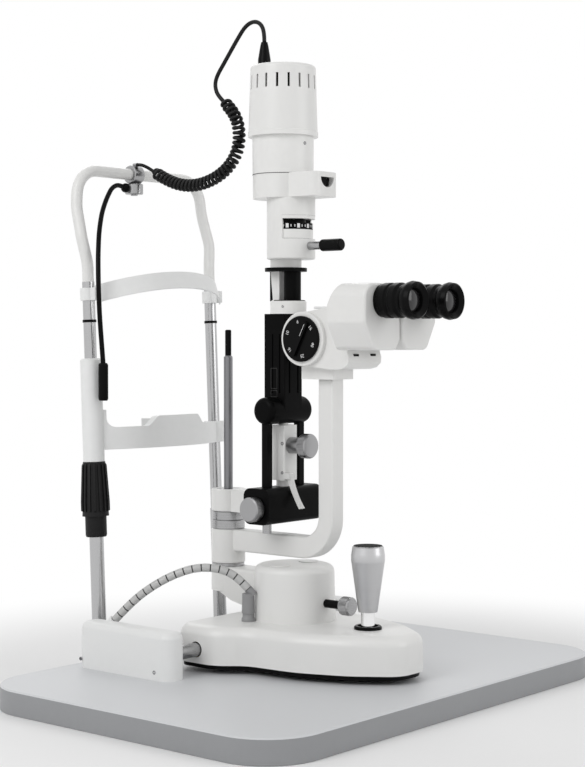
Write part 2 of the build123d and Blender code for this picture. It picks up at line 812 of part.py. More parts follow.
def tower_stem():
    """White block between the hinge and the cross cylinder."""
    half = stem_size / 2
    block = box(-half, half, tower_y - half, tower_y + half, level(stem_bottom), level(stem_top))
    block = fillet(block.edges().filter_by(Axis.Z), 1.5)
    foot = cylinder(stem_neck_radius + 2, level(yoke_top), stem_bottom - yoke_top, 0, tower_y)
    neck = cylinder(stem_neck_radius, level(stem_top), 10, 0, tower_y)
    inner = lever_half_width + free_gap
    reach = inner + lever_lug
    lugs = [box(lever_x + x, lever_x + x + lever_lug, lever_pivot_y - lever_eye_radius, tower_y - half + 1,
                lever_pivot_z - lever_eye_radius, lever_pivot_z + lever_eye_radius) for x in (inner, -reach)]
    pin = rod_x_axis(lever_pin_radius, lever_x - reach, lever_x + reach, lever_pivot_y, lever_pivot_z)
    stem = block + foot + neck + lugs[0] + lugs[1] + pin - cross_cylinder()
    return stem - rod_y_axis(4 + running_fit, tower_y - half - 1, tower_y - half + 9, 0, level(centring_height))


def tower_rods():
    """Pull bars from the hinge up to the cross cylinder, the cylinder itself and the stop pin."""
    bar = box(rod_x - rod_size / 2, rod_x + rod_size / 2, tower_y - rod_size / 2, tower_y + rod_size / 2,
              level(yoke_top), level(cross_height))
    bars = both_sides(bar - cross_cylinder())
    pin = cylinder(5, level(yoke_bottom) - 10.5, 10.5, -rod_x, tower_y)
    return group(bars, cross_cylinder(), pin)


def tower_block():
    """Square tower with its mirror pocket on the patient's side and guide grooves."""
    half = block_size / 2
    block = box(-half, half, tower_y - half, tower_y + half, level(cross_height), level(block_top))
    block = chamfer(block.edges().filter_by(Axis.Z), 1.2)
    block -= cross_cylinder()
    back = tower_y - mirror_inset
    low = level(mirror_height) - mirror_inset - half
    slope_run = half + mirror_inset + 2
    pocket = make_face(Polyline((back, low + slope_run), (back + slope_run, low), (back + slope_run, low + 32),
                                (back, low + 32), close=True))
    block -= Pos(-mirror_width / 2 - 0.5, 0, 0) * extrude(Plane.YZ * pocket, mirror_width + 1)
    block -= cylinder(3.5, low + 30, 60, 0, tower_y)
    for x in (-half, half):
        for y in (tower_y - 8, tower_y + 2):
            block -= box(x - 1, x + 1, y - 1.2, y + 1.2, level(296), level(360))
    for x in (-7, 7):
        block -= box(x - 1.2, x + 1.2, tower_y - half - 1, tower_y - half + 1, level(296), level(330))
    return block


def tower_mirror():
    """Mirror plate that lies on the pocket's 45 degree floor."""
    run = block_size / 2 + mirror_inset + 2
    floor_y = tower_y - mirror_inset + run / 2
    floor_z = level(mirror_height) - mirror_inset - block_size / 2 + run / 2
    half_normal = mirror_thickness / 2 * math.sin(math.radians(45))
    plate = Box(mirror_width, mirror_length, mirror_thickness)
    return Pos(0, floor_y + half_normal, floor_z + half_normal) * Rot(-45, 0, 0) * plate


def lens_barrel():
    """Collar, column and the black projection barrel under the flange."""
    base = level(block_top)
    collar = cylinder(collar_radius, base, collar_height, 0, collar_y)
    collar = chamfer(collar.faces().sort_by(Axis.Z)[-1].edges(), 2)
    column = box(-7, 7, tower_y - 0.5, tower_y + 12, base + collar_height - 1, level(flange_bottom) + 1)
    barrel = cylinder(barrel_radius, base + collar_height - 1, flange_bottom - block_top - collar_height + 2, 0, optic_y - 2)
    flange = cylinder(flange_radius, level(flange_bottom), flange_top - flange_bottom, 0, flange_y)
    neck = cylinder(17, level(flange_top), slit_bottom - flange_top, 0, flange_y)
    guide = cylinder(3.8, base + collar_height - 1, flange_bottom - block_top - collar_height + 2, 0, flange_y + 18)
    web = box(-3.8, 3.8, tower_y + 10, flange_y + 18, base + 12, base + 30)
    barrel_group = collar + column + barrel + flange + neck + guide + web
    return barrel_group - cylinder(6, base + 4, 80, 0, optic_y - 2) - cylinder(4, base - 1, 10, 0, tower_y)


def slit_body():
    """Fixed housing of the slit, cut open at the examiner's side round the numbered ring."""
    body = cylinder(slit_radius, level(slit_bottom), slit_top - slit_bottom, 0, optic_y)
    body = fillet(body.faces().sort_by(Axis.Z)[0].edges(), 2)
    pocket = cylinder(ring_radius + free_gap, level(ring_bottom) - free_gap, ring_top - ring_bottom + 2 * free_gap, 0, optic_y)
    front = box(-40, 40, optic_y - 40, slit_cut_y, level(ring_bottom) - free_gap, level(window_top))
    core = cylinder(16, level(ring_top) + free_gap, window_top - ring_top, 0, optic_y)
    body = body - pocket - (front - core)
    body -= cylinder(6, level(slit_bottom) - 1, 100, 0, optic_y - 2)
    return body - rod_y_axis(lever_rod_radius + running_fit, optic_y - slit_radius - 1, optic_y - slit_radius + 14, 0, level(lever_height))


def slit_ring():
    ring = cylinder(ring_radius, level(ring_bottom), ring_top - ring_bottom, 0, optic_y)
    ring = chamfer(ring.edges().filter_by(GeomType.CIRCLE), 0.5)
    return ring - cylinder(8, level(ring_bottom) - 1, 40, 0, optic_y)


def slit_lever():
    z = level(lever_height)
    rod = rod_y_axis(lever_rod_radius, lever_grip_y - 1, optic_y - slit_radius + 13, 0, z)
    grip = rod_y_axis(lever_grip_radius, lever_end_y, lever_grip_y, 0, z)
    grip = fillet(grip.edges().filter_by(GeomType.CIRCLE), 2.5)
    return rod + grip


def aperture_housing():
    """Round housing with the square nose that holds the aperture wheel."""
    height = aperture_top - slit_top
    round_part = cylinder(aperture_radius, level(slit_top), height, 0, tower_y)
    nose = box(-aperture_half_width, aperture_half_width, aperture_front_y, tower_y, level(slit_top), level(aperture_top))
    nose = fillet(nose.edges().filter_by(Axis.Z).sort_by(Axis.Y)[0:2], 10)
    body = round_part + nose
    wheel_y = aperture_front_y + 3.5 + wheel_radius
    wheel_z = level(aperture_top) - 5.5 - wheel_thickness
    room = cylinder(wheel_radius + 0.8, wheel_z - 0.5, wheel_thickness + 1, 0, wheel_y)
    room -= cylinder(2.5, wheel_z - 1, wheel_thickness + 2, 0, wheel_y)
    window = rod_y_axis(window_radius, aperture_front_y - 1, aperture_front_y + 8, 0, wheel_z + wheel_thickness)
    window -= box(-20, 20, aperture_front_y - 2, 0, wheel_z + wheel_thickness, level(aperture_top) + 20)
    return body - room - window - cylinder(6, level(slit_top) - 1, 40, 0, optic_y + 6)


def aperture_wheel():
    wheel_y = aperture_front_y + 3.5 + wheel_radius
    wheel_z = level(aperture_top) - 5.5 - wheel_thickness
    wheel = cylinder(wheel_radius, wheel_z, wheel_thickness, 0, wheel_y)
    return wheel - cylinder(2.5 + running_fit, wheel_z - 1, wheel_thickness + 2, 0, wheel_y)


def lamp_housing():
    outer = cylinder(lamp_radius, level(aperture_top), lamp_top - aperture_top, 0, tower_y)
    inner = cylinder(lamp_radius - 3, level(aperture_top) + 6, lamp_top, 0, tower_y)
    return outer - inner - cylinder(9, level(aperture_top) - 1, 20, 0, tower_y)


def lamp_cap():
    """Vented cap with a ring of slots under its crown."""
    bottom = level(lamp_top)
    height = cap_top - lamp_top
    cap = turned([(0, bottom), (cap_bottom_radius, bottom), (cap_bottom_radius, bottom + 5),
                  (cap_bottom_radius - 0.6, bottom + 5.6), (cap_top_radius, bottom + height - 1),
                  (cap_top_radius, bottom + height), (0, bottom + height)], 0, tower_y)
    cap = fillet(cap.faces().sort_by(Axis.Z)[-1].edges(), 3.5)
    room = turned([(0, bottom + 4), (cap_bottom_radius - cap_wall - 1, bottom + 4),
                   (cap_top_radius - cap_wall, bottom + height - cap_wall), (0, bottom + height - cap_wall)], 0, tower_y)
    cap -= room
    cap -= cylinder(lamp_radius - 3, bottom - 1, 10, 0, tower_y)
    slot = Pos(cap_top_radius, 0, bottom + height - 19) * Box(12, vent_width, vent_height)
    for number in range(vent_count):
        cap -= Pos(0, tower_y, 0) * Rot(0, 0, vent_first_angle + number * 360 / vent_count) * slot
    return cap


def bulb():
    """Halogen bulb in its ceramic socket on the floor of the lamp housing."""
    floor_z = level(aperture_top) + 6
    return turned([(9.2, floor_z), (14, floor_z), (14, floor_z + 8), (bulb_radius - 2, floor_z + 12),
                   (bulb_radius - 2, floor_z + 18), (bulb_radius, floor_z + 26), (bulb_radius - 1, floor_z + 36),
                   (0, floor_z + 42), (0, floor_z + 8), (9.2, floor_z + 8)], 0, tower_y)


def power_plug():
    bottom = level(cap_top)
    return turned([(0, bottom), (plug_base_radius + 1, bottom), (plug_base_radius + 1, bottom + 3),
                   (plug_base_radius, bottom + 5), (plug_base_radius, bottom + 10), (plug_top_radius, bottom + plug_length - 4),
                   (plug_top_radius - 1, bottom + plug_length), (0, bottom + plug_length)], 0, plug_y)


def centring_knob():
    z = level(centring_height)
    face = tower_y - stem_size / 2
    back = centring_end_y + centring_knob_length
    shaft = rod_y_axis(4, back - 1, face + 8, 0, z)
    collar = rod_y_axis(centring_knob_radius - 4, back - 1, face - free_gap, 0, z)
    knob = rod_y_axis(centring_knob_radius, centring_end_y, back, 0, z)
    return shaft + collar + chamfer(knob.edges().filter_by(GeomType.CIRCLE), 1.2)


lever_pivot_y = tower_y - stem_size / 2 - lever_eye_radius - free_gap
lever_pivot_z = level(stem_bottom) + 5


def tilt_lever():
    """Curved release lever in front of the hinge."""
    y = lever_pivot_y
    z = lever_pivot_z
    outer = ThreePointArc((y - 3, z), (y - 9, z - 18), (y - 19, z - 34))
    inner = ThreePointArc((y - 15.5, z - 35), (y - 5.5, z - 18), (y + 2.5, z))
    blade = make_face([outer, Line((y - 19, z - 34), (y - 15.5, z - 35)), inner, Line((y + 2.5, z), (y - 3, z))])
    plate = Pos(lever_x - lever_half_width, 0, 0) * extrude(Plane.YZ * blade, 2 * lever_half_width)
    eye = rod_x_axis(lever_eye_radius, lever_x - lever_half_width, lever_x + lever_half_width, y, z)
    return plate + eye - rod_x_axis(lever_pin_radius + running_fit, -yoke_depth, yoke_depth, y, z)


# Chin rest frame

post_axis_origin = Pos(0, post_foot_y, top)
lean = post_axis_origin * Rot(-post_lean, 0, 0)


def leaned(shape):
    """Places a shape that was drawn about upright posts onto the leaning ones."""
    return lean * shape


def world_y(along):
    """Y of the post's axis at a distance along it."""
    return post_foot_y + along * math.sin(math.radians(post_lean))


def posts():
    """Two leaning posts with the foot blocks that clamp the table's edge."""
    shaft = turned([(0, 0), (post_lower_radius, 0), (post_lower_radius, post_step - 1), (post_radius, post_step),
                    (post_radius, post_top), (0, post_top)], post_x, 0)
    foot_front = table_depth / 2
    foot = box(post_x - foot_half_width, post_x + foot_half_width, foot_front, foot_front + foot_depth, 0,
               top + foot_rise)
    foot = fillet(foot.edges().filter_by(Axis.Z).sort_by(Axis.Y)[-2:], 10)
    ledge = box(post_x - foot_half_width, post_x + foot_half_width, foot_front - 9, foot_front + 5, top,
                top + foot_rise)
    post = leaned(shaft) + foot + ledge
    pair = both_sides(post)
    left, right = sorted(pair.solids(), key=lambda solid: solid.center().X)
    collar = leaned(turned([(post_radius - 1, collar_bottom), (11.2, collar_bottom), (12, collar_bottom + 2),
                            (12, sleeve_bottom - free_gap), (post_radius - 1, sleeve_bottom - free_gap)], -post_x, 0))
    return group(left + collar, right)


def post_clips():
    """Eye-level rings and the clips that hold the forehead band."""
    ring = turned([(post_radius, ring_level - 1.5), (post_radius + 0.8, ring_level - 1.5),
                   (post_radius + 0.8, ring_level + 1.5), (post_radius, ring_level + 1.5)], post_x, 0)
    clip = cylinder(post_radius + 2.5, clip_level - clip_height / 2, clip_height, post_x, 0)
    clip += box(post_x - 5, post_x + 5, band_start_y - 2, 0, clip_level - clip_height / 2, clip_level + clip_height / 2)
    clip -= cylinder(post_radius, 0, post_top, post_x, 0)
    clips = both_sides(leaned(group(ring, clip)))
    band = forehead_band()
    return group(*[solid - band for solid in clips.solids()])


def frame_tube():
    """White tube over both posts, swept back and bent across the top."""
    start = (-post_x, world_y(post_top), level(post_top * math.cos(math.radians(post_lean))))
    bend = (-post_x, world_y(tube_bend_start), level(tube_bend_start * math.cos(math.radians(post_lean))))
    out = (-tube_wide_x, tube_wide_y, level(tube_wide_height))
    back = (-tube_back_x, tube_back_y, level(tube_back_height))
    corner = (-post_x + 2, tube_top_y, level(tube_top))
    side = [start, bend, out, back, corner]
    points = side + [(-x, y, z) for x, y, z in reversed(side)]
    radii = [60, 45, 60, tube_corner]
    path = FilletPolyline(*points, radius=radii + radii[::-1])
    return sweep(Plane(origin=path @ 0, z_dir=path % 0) * Circle(tube_radius), path=path)


def bowed(bow, thickness, height, bottom, half_span):
    """Strip between the posts that bows towards the examiner, drawn about upright posts."""
    def arc_face(grow):
        return ThreePointArc((-half_span, grow), (0, grow - bow), (half_span, grow))
    inner = arc_face(thickness / 2)
    outer = arc_face(-thickness / 2)
    face = make_face([inner, Line((half_span, thickness / 2), (half_span, -thickness / 2)), outer,
                      Line((-half_span, -thickness / 2), (-half_span, thickness / 2))])
    return Pos(0, 0, bottom) * extrude(face, height)


def forehead_band():
    half_span = post_x - 1
    strip = bowed(band_bow, band_thickness, band_height, -band_height / 2, half_span)
    tilt = math.degrees(math.atan2(band_rise, band_bow))
    strip = Rot(-tilt, 0, 0) * strip
    return leaned(Pos(0, band_start_y, clip_level) * strip)


def chin_rest():
    """Casting with a sleeve on the left post, a boss on the right one and the chin cup."""
    outline = FilletPolyline((-post_x - 5, bar_bottom), (post_x + 5, bar_bottom), (post_x + 5, bar_top), (44, bar_top),
                             (33, cup_top), (-33, cup_top), (-44, bar_top), (gusset_x, bar_top),
                             (gusset_x, bar_top + 2 * gusset_radius), (-post_x - 5, bar_top + 2 * gusset_radius),
                             close=True, radius=[1, 1, 1, 7, 7, 7, 7, gusset_radius, 1, 1])
    front = Pos(0, post_x, 0) * extrude(Plane.XZ * make_face(outline), 2 * post_x)
    bar = bowed(bar_bow, bar_thickness, cup_top - bar_bottom + 2 * gusset_radius, bar_bottom, post_x) & front
    sleeve = cylinder(chin_sleeve_radius, sleeve_top + free_gap, chin_sleeve_top - sleeve_top - free_gap, -post_x, 0)
    sleeve = chamfer(sleeve.faces().sort_by(Axis.Z)[-1].edges(), 2)
    boss = cylinder(chin_sleeve_radius, bar_bottom, bar_height, post_x, 0)
    cup_y = cup_depth / 2 - bar_bow
    cup_plan = Pos(0, cup_y, 0) * Ellipse(cup_half_width, cup_depth / 2)
    cup = Pos(0, 0, cup_top - 20) * extrude(cup_plan, 17)
    cup = fillet(cup.faces().sort_by(Axis.Z)[0].edges(), 5)
    cup -= Pos(0, cup_y + 1, cup_top + 22) * Sphere(36)
    rest = bar + sleeve + boss + cup
    for x in (-post_x, post_x):
        rest -= cylinder(post_radius + 0.1, 0, post_top, x, 0)
    return leaned(rest)


def height_sleeve():
    """Ribbed nut that is turned to raise the chin rest."""
    rib_root = sleeve_radius - 1.6
    body = turned([(post_radius + 0.3, sleeve_bottom), (sleeve_end_radius + 1, sleeve_bottom), (rib_root, sleeve_bottom + 6),
                   (rib_root, sleeve_bottom + 16), (sleeve_end_radius - 1.4, sleeve_top - 6),
                   (sleeve_end_radius - 1.4, sleeve_top), (post_radius + 0.3, sleeve_top)],
                  -post_x, 0)
    rib_face = make_face(Polyline((rib_root - 2, sleeve_bottom + 4), (sleeve_radius, sleeve_bottom + 6),
                                  (sleeve_radius, sleeve_bottom + 16), (sleeve_end_radius, sleeve_top - 4),
                                  (sleeve_end_radius - 1.6, sleeve_top - 1), (sleeve_end_radius - 3, sleeve_top - 1),
                                  (rib_root - 3, sleeve_bottom + 16), close=True))
    rib = extrude(Plane.XZ * rib_face, 1.1, both=True)
    for number in range(sleeve_ribs):
        body += Pos(-post_x, 0, 0) * Rot(0, 0, number * 360 / sleeve_ribs) * rib
    return leaned(body)


# Fixation lamp

clamp_x = -10.0
clamp_radius = tube_radius + 4
swivel_top = tube_top - clamp_radius - free_gap
swivel_height = 12.0
swivel_radius = 10.5
swivel_pin_radius = 4.0
arm_points = [
    (-24, 253, level(530)),
    (-37, 253, level(533)),
    (-49, 250, level(528)),
    (-62, 245, level(515)),
    (-76, 238, level(498)),
    (-91, 227, level(475)),
    (-102, 217, level(447)),
    (-107.8, 210.5, level(415)),
    (-107, 209.6, level(380)),
    (-102.4, 208.8, level(326)),
]


def fixation_clamp():
    """Clamp on the top tube with the swivel pin below it and the cable's gland above."""
    clamp = rod_x_axis(clamp_radius, clamp_x - 8, clamp_x + 8, tube_top_y, level(tube_top))
    clamp = chamfer(clamp.edges().filter_by(GeomType.CIRCLE), 1)
    gland = rod_y_axis(2.5, tail_points[-1][1], tube_top_y, clamp_x, tail_points[-1][2])
    pin = cylinder(swivel_pin_radius, level(swivel_top) - swivel_height - 1.5, clamp_radius + swivel_height + 1, clamp_x, tube_top_y)
    clamp = clamp + gland + pin
    return clamp - rod_x_axis(tube_radius, clamp_x - 20, clamp_x + 20, tube_top_y, level(tube_top))


def rounded_path(points, share=0.45):
    """Straight runs joined by the largest tangent arcs that two neighbouring runs allow."""
    vectors = [Vector(*point) for point in points]
    radii = []
    for before, here, after in zip(vectors, vectors[1:], vectors[2:]):
        turn = math.radians((here - before).get_angle(after - here))
        shorter = min((here - before).length, (after - here).length)
        radii.append(share * shorter / math.tan(turn / 2))
    return FilletPolyline(*points, radius=radii), radii


def cord(points, diameter):
    """Round cord along a path of runs and arcs."""
    path, radii = rounded_path(points)
    print("cord", diameter, "radii", [round(radius, 1) for radius in radii])
    solid = sweep(Plane(origin=path @ 0, z_dir=path % 0) * Circle(diameter / 2), path=path)
    print("volume", round(solid.volume, 1), "section times length", round(math.pi * diameter**2 / 4 * path.length, 1))
    return solid


def fixation_arm():
    """Swivel ring, ball, bent neck and the lamp capsule at its end."""
    ring = cylinder(swivel_radius, level(swivel_top) - swivel_height, swivel_height, clamp_x, tube_top_y)
    ring = chamfer(ring.edges().filter_by(GeomType.CIRCLE), 0.8)
    ring -= cylinder(swivel_pin_radius + running_fit, 0, 800, clamp_x, tube_top_y)
    inside = Vector(clamp_x - swivel_radius + 2, tube_top_y, level(swivel_top) - swivel_height / 2)
    link = slanted(2.5, inside, arm_points[0], (Vector(*arm_points[0]) - inside).length)
    ball = Pos(*arm_points[0]) * Rot(0, 90, 0) * Sphere(5.5)
    path, _ = rounded_path(arm_points)
    neck = sweep(Plane(origin=path @ 0, z_dir=path % 0) * Circle(2.75), path=path)
    x, y, z = arm_points[-1]
    lamp = turned([(0, z + 2), (4, z + 2), (5.5, z), (5.5, z - 38), (4.5, z - 40), (0, z - 40)], x, y)
    head = (ring + link + ball) - neck
    return group(head, neck - lamp, lamp)


# Leads

coil_points = [(0, 120.5, level(620.8)), (0, 108.5, level(610.7)), (0, 99.5, level(597)), (0, 96.5, level(581)),
               (0, 99, level(565)), (0, 109, level(550)), (0, 127, level(538)), (0, 149, level(531)),
               (0, 172, level(529)), (0, 195, level(533)), (0, 215, level(541)), (0, 230, level(549))]
lead_points = [(0, plug_y, level(cap_top) + plug_length), (0, plug_y, level(691)), (0, 65, level(701)),
               (0, 75, level(705)), (0, 87, level(701.5)), (0, 98, level(690)),
               (0, 120, level(663)), (0, 130, level(651)), (0, 133.6, level(642.2)), (0, 132, level(633.3)),
               (0, 127, level(626.3)), (0, 120.5, level(620.8))]
tail_points = [(0, 230, level(549)), (0, 233.4, level(550.8)), (-4, 237.5, level(554.5)),
               (clamp_x, 241.5, level(557.3)), (clamp_x, 247.5, level(557.3))]

pieces = {
    "table_top": table_top,
    "rail_covers": rail_covers,
    "rail_racks": rail_racks,
    "posts": posts,
    "post_clips": post_clips,
    "frame_tube": frame_tube,
    "forehead_band": forehead_band,
    "fixation_clamp": fixation_clamp,
    "fixation_arm": fixation_arm,
    "chin_rest": chin_rest,
    "height_sleeve": height_sleeve,
    "axle_guides": axle_guides,
    "axle": axle,
    "gear_wheels": gear_wheels,
    "base_shell": base_shell,
    "base_plate": base_plate,
    "axle_bushes": axle_bushes,
    "base_drum": base_drum,
    "conduit_connector": conduit_connector,
    "joystick_collar": joystick_collar,
    "lock_knob": lock_knob,
    "joystick_gimbal": joystick_ball,
    "joystick_stem": joystick_stem,
    "joystick_grip": joystick_grip,
    "lift_screw": lift_screw,
    "pivot_column": pivot_column,
    "test_rod": test_rod,
    "microscope_arm": microscope_arm,
    "microscope_bracket": microscope_bracket,
    "microscope_body": microscope_body,
    "objective_lens": objective_lens,
    "magnification_drum": magnification_drum,
    "magnification_knobs": magnification_knobs,
    "left_prism_housing": left_prism_housing,
    "right_prism_housing": right_prism_housing,
    "left_eyepiece": lambda: eyepiece(-eyepiece_x),
    "right_eyepiece": lambda: eyepiece(eyepiece_x),
    "illumination_arm": illumination_arm,
    "tilt_yoke": tilt_yoke,
    "slit_width_knobs": slit_width_knobs,
    "tower_stem": tower_stem,
    "tower_rods": tower_rods,
    "centring_knob": centring_knob,
    "tilt_lever": tilt_lever,
    "tower_block": tower_block,
    "tower_mirror": tower_mirror,
    "lens_barrel": lens_barrel,
    "slit_body": slit_body,
    "slit_ring": slit_ring,
    "slit_lever": slit_lever,
    "aperture_housing": aperture_housing,
    "aperture_wheel": aperture_wheel,
    "lamp_housing": lamp_housing,
    "lamp_cap": lamp_cap,
    "bulb": bulb,
    "power_plug": power_plug,
    "power_lead": lambda: cord(lead_points, lead_diameter),
    "curly_lead": lambda: cord(coil_points, coil_diameter),
    "lead_tail": lambda: cord(tail_points, tail_diameter),
    "conduit": lambda: cord(conduit_points, conduit_diameter),
}

os.makedirs("parts", exist_ok=True)
for name, build in pieces.items():
    shape = build()
    export_step(shape, os.path.join("parts", name + ".step"))
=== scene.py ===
import json
import math

import bpy
from bpy.props import FloatProperty, FloatVectorProperty, IntProperty, PointerProperty
from mathutils import Matrix, Vector
from mathutils.kdtree import KDTree


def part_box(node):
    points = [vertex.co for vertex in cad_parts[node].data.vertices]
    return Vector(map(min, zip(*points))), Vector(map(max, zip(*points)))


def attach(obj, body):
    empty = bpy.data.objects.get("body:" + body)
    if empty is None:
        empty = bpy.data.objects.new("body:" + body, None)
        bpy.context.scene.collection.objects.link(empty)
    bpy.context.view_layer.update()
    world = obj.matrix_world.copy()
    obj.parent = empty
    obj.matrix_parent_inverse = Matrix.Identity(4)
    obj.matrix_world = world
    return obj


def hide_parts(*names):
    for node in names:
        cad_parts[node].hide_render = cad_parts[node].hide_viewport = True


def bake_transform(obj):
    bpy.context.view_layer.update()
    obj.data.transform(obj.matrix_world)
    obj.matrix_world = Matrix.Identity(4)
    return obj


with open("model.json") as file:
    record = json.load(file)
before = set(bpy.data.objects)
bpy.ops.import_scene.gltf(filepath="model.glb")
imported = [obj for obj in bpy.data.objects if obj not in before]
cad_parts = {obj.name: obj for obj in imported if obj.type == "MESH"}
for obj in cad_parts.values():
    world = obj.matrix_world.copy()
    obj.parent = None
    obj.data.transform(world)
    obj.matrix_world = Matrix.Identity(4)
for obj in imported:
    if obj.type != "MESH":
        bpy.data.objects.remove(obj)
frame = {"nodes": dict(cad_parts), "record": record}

bl_info = {
    "name": "Slit lamp looks",
    "version": (1, 0, 0),
    "blender": (4, 5, 0),
    "location": "View3D > Sidebar > Slit lamp",
    "description": "Finishes, cords and small details of a slit lamp around its packed frame",
    "category": "Object",
}

MM = 0.001
# Share of the conduit's radius under which faces take painted shade at the bottom of the grooves.
GROOVE_SHADE_SHARE = 0.94
TABLE_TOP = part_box("table_top")[1].z
POST_LEAN = math.radians(2.4)
POST_FOOT_Y = 0.2177
TOWER_Y = 0.033

CONDUIT_ROUTE = [
    (-45.5, 44, 85),
    (-53, 53, 98),
    (-65, 66, 107),
    (-82, 84, 109),
    (-98, 104, 101),
    (-112, 125, 87),
    (-122, 146, 69),
    (-130, 163, 49),
]
COIL_SHARES = (0.1, 0.12, 0.15, 0.63)
COIL_STEPS = 16
RIB_SHAPE = [0.86, 0.98] + [1.0] * 11 + [0.98]
LEAD_ROUTE = [
    (0, 60, 680),
    (0, 60, 691),
    (0, 65, 701),
    (0, 75, 705),
    (0, 87, 701.5),
    (0, 98, 690),
    (0, 120, 663),
    (0, 130, 651),
    (0, 133.6, 642.2),
    (0, 132, 633.3),
    (0, 127, 626.3),
    (0, 120.5, 620.8),
]
COIL_ROUTE = [
    (0, 120.5, 620.8),
    (0, 108.5, 610.7),
    (0, 99.5, 597),
    (0, 96.5, 581),
    (0, 99, 565),
    (0, 109, 550),
    (0, 127, 538),
    (0, 149, 531),
    (0, 172, 529),
    (0, 195, 533),
    (0, 215, 541),
    (0, 230, 549),
]
TAIL_ROUTE = [(0, 230, 549), (0, 233.4, 550.8), (-4, 237.5, 554.5), (-10, 241.5, 557.3), (-10, 247.5, 557.3)]


def level(height):
    """Z in metres of a height in millimetres above the table's top."""
    return TABLE_TOP + height * MM


def spot(x, y, height):
    """Place in the frame of a point in millimetres, its height taken from the table's top."""
    return Vector((x * MM, y * MM, level(height)))


def on_route(points):
    """Route points given in millimetres above the table, in metres of the frame."""
    return [Vector((x * MM, y * MM, level(z))) for x, y, z in points]


# Properties


class SlitLampSizes(bpy.types.PropertyGroup):
    """Sizes that shape the looks."""

    lens: FloatProperty(
        name="Lens", description="Focal length of the camera", default=78.92, unit="CAMERA")
    lead_diameter: FloatProperty(
        name="Lead", description="Diameter of the smooth lead", default=0.0046, unit="LENGTH")
    coil_wire: FloatProperty(
        name="Coil wire", description="Diameter of the coiled wire", default=0.004, unit="LENGTH")
    coil_diameter: FloatProperty(
        name="Coil", description="Outer diameter of the coil", default=0.015, unit="LENGTH")
    coil_turns: IntProperty(name="Turns", description="Turns of the coiled lead", default=36)
    conduit_diameter: FloatProperty(
        name="Conduit", description="Outer diameter of the conduit", default=0.009, unit="LENGTH")
    conduit_pitch: FloatProperty(
        name="Rib pitch", description="Length of one conduit segment", default=0.0094, unit="LENGTH")
    floor_size: FloatProperty(
        name="Floor", description="Half side of the floor", default=30.0, unit="LENGTH")


class SlitLampColours(bpy.types.PropertyGroup):
    """Colours of the finishes."""

    paint: FloatVectorProperty(
        name="Paint", description="Warm white enamel", subtype="COLOR", default=(0.77, 0.768, 0.755))
    moulding: FloatVectorProperty(
        name="Moulding", description="White moulded plastic",
        subtype="COLOR", default=(0.79, 0.795, 0.79))
    laminate: FloatVectorProperty(
        name="Laminate", description="Grey table laminate", subtype="COLOR", default=(0.62, 0.63, 0.645))
    edge_band: FloatVectorProperty(
        name="Edge band", description="Table edge band", subtype="COLOR", default=(0.29, 0.295, 0.305))
    black: FloatVectorProperty(
        name="Black", description="Black plastic and anodising",
        subtype="COLOR", default=(0.003, 0.003, 0.0031))
    steel: FloatVectorProperty(
        name="Steel", description="Satin steel", subtype="COLOR", default=(0.47, 0.47, 0.475))
    aluminium: FloatVectorProperty(
        name="Aluminium", description="Satin aluminium", subtype="COLOR", default=(0.35, 0.35, 0.355))


# Shader node groups


def group_socket(group, name, kind, in_out, default=None):
    """Adds one named socket to a node group."""
    socket = group.interface.new_socket(name=name, in_out=in_out, socket_type=kind)
    if default is not None:
        socket.default_value = default
    return socket


def math_node(nodes, links, operation, first, second):
    """Adds a Math node fed by sockets or numbers, and returns its output."""
    node = nodes.new("ShaderNodeMath")
    node.operation = operation
    for index, value in enumerate((first, second)):
        if isinstance(value, bpy.types.NodeSocket):
            links.new(value, node.inputs[index])
        else:
            node.inputs[index].default_value = value
    return node.outputs[0]


def handled_surface_group():
    """Soft colour and gloss variation with a fine grain, as handled enamel and plastic have."""
    group = bpy.data.node_groups.new("handled_surface", "ShaderNodeTree")
    group_socket(group, "Colour", "NodeSocketColor", "INPUT", (0.8, 0.8, 0.8, 1))
    group_socket(group, "Tone Variation", "NodeSocketFloat", "INPUT", 0.04)
    group_socket(group, "Roughness", "NodeSocketFloat", "INPUT", 0.3)
    group_socket(group, "Roughness Variation", "NodeSocketFloat", "INPUT", 0.08)
    group_socket(group, "Patch Scale", "NodeSocketFloat", "INPUT", 14.0)
    group_socket(group, "Grain Scale", "NodeSocketFloat", "INPUT", 900.0)
    group_socket(group, "Colour", "NodeSocketColor", "OUTPUT")
    group_socket(group, "Roughness", "NodeSocketFloat", "OUTPUT")
    group_socket(group, "Grain", "NodeSocketFloat", "OUTPUT")
    nodes = group.nodes
    links = group.links
    inlet = nodes.new("NodeGroupInput")
    outlet = nodes.new("NodeGroupOutput")
    place = nodes.new("ShaderNodeTexCoord")
    patches = nodes.new("ShaderNodeTexNoise")
    patches.inputs["Detail"].default_value = 4
    grain = nodes.new("ShaderNodeTexNoise")
    grain.inputs["Detail"].default_value = 2
    for noise, scale in ((patches, "Patch Scale"), (grain, "Grain Scale")):
        links.new(place.outputs["Object"], noise.inputs["Vector"])
        links.new(inlet.outputs[scale], noise.inputs["Scale"])
    centred = math_node(nodes, links, "SUBTRACT", patches.outputs["Fac"], 0.5)
    shift = math_node(nodes, links, "MULTIPLY", centred, inlet.outputs["Tone Variation"])
    value = math_node(nodes, links, "ADD", shift, 1.0)
    tone = nodes.new("ShaderNodeHueSaturation")
    links.new(inlet.outputs["Colour"], tone.inputs["Color"])
    links.new(value, tone.inputs["Value"])
    rough_shift = math_node(nodes, links, "MULTIPLY", centred, inlet.outputs["Roughness Variation"])
    rough = math_node(nodes, links, "ADD", rough_shift, inlet.outputs["Roughness"])
    links.new(tone.outputs["Color"], outlet.inputs["Colour"])
    links.new(rough, outlet.inputs["Roughness"])
    links.new(grain.outputs["Fac"], outlet.inputs["Grain"])
    return group


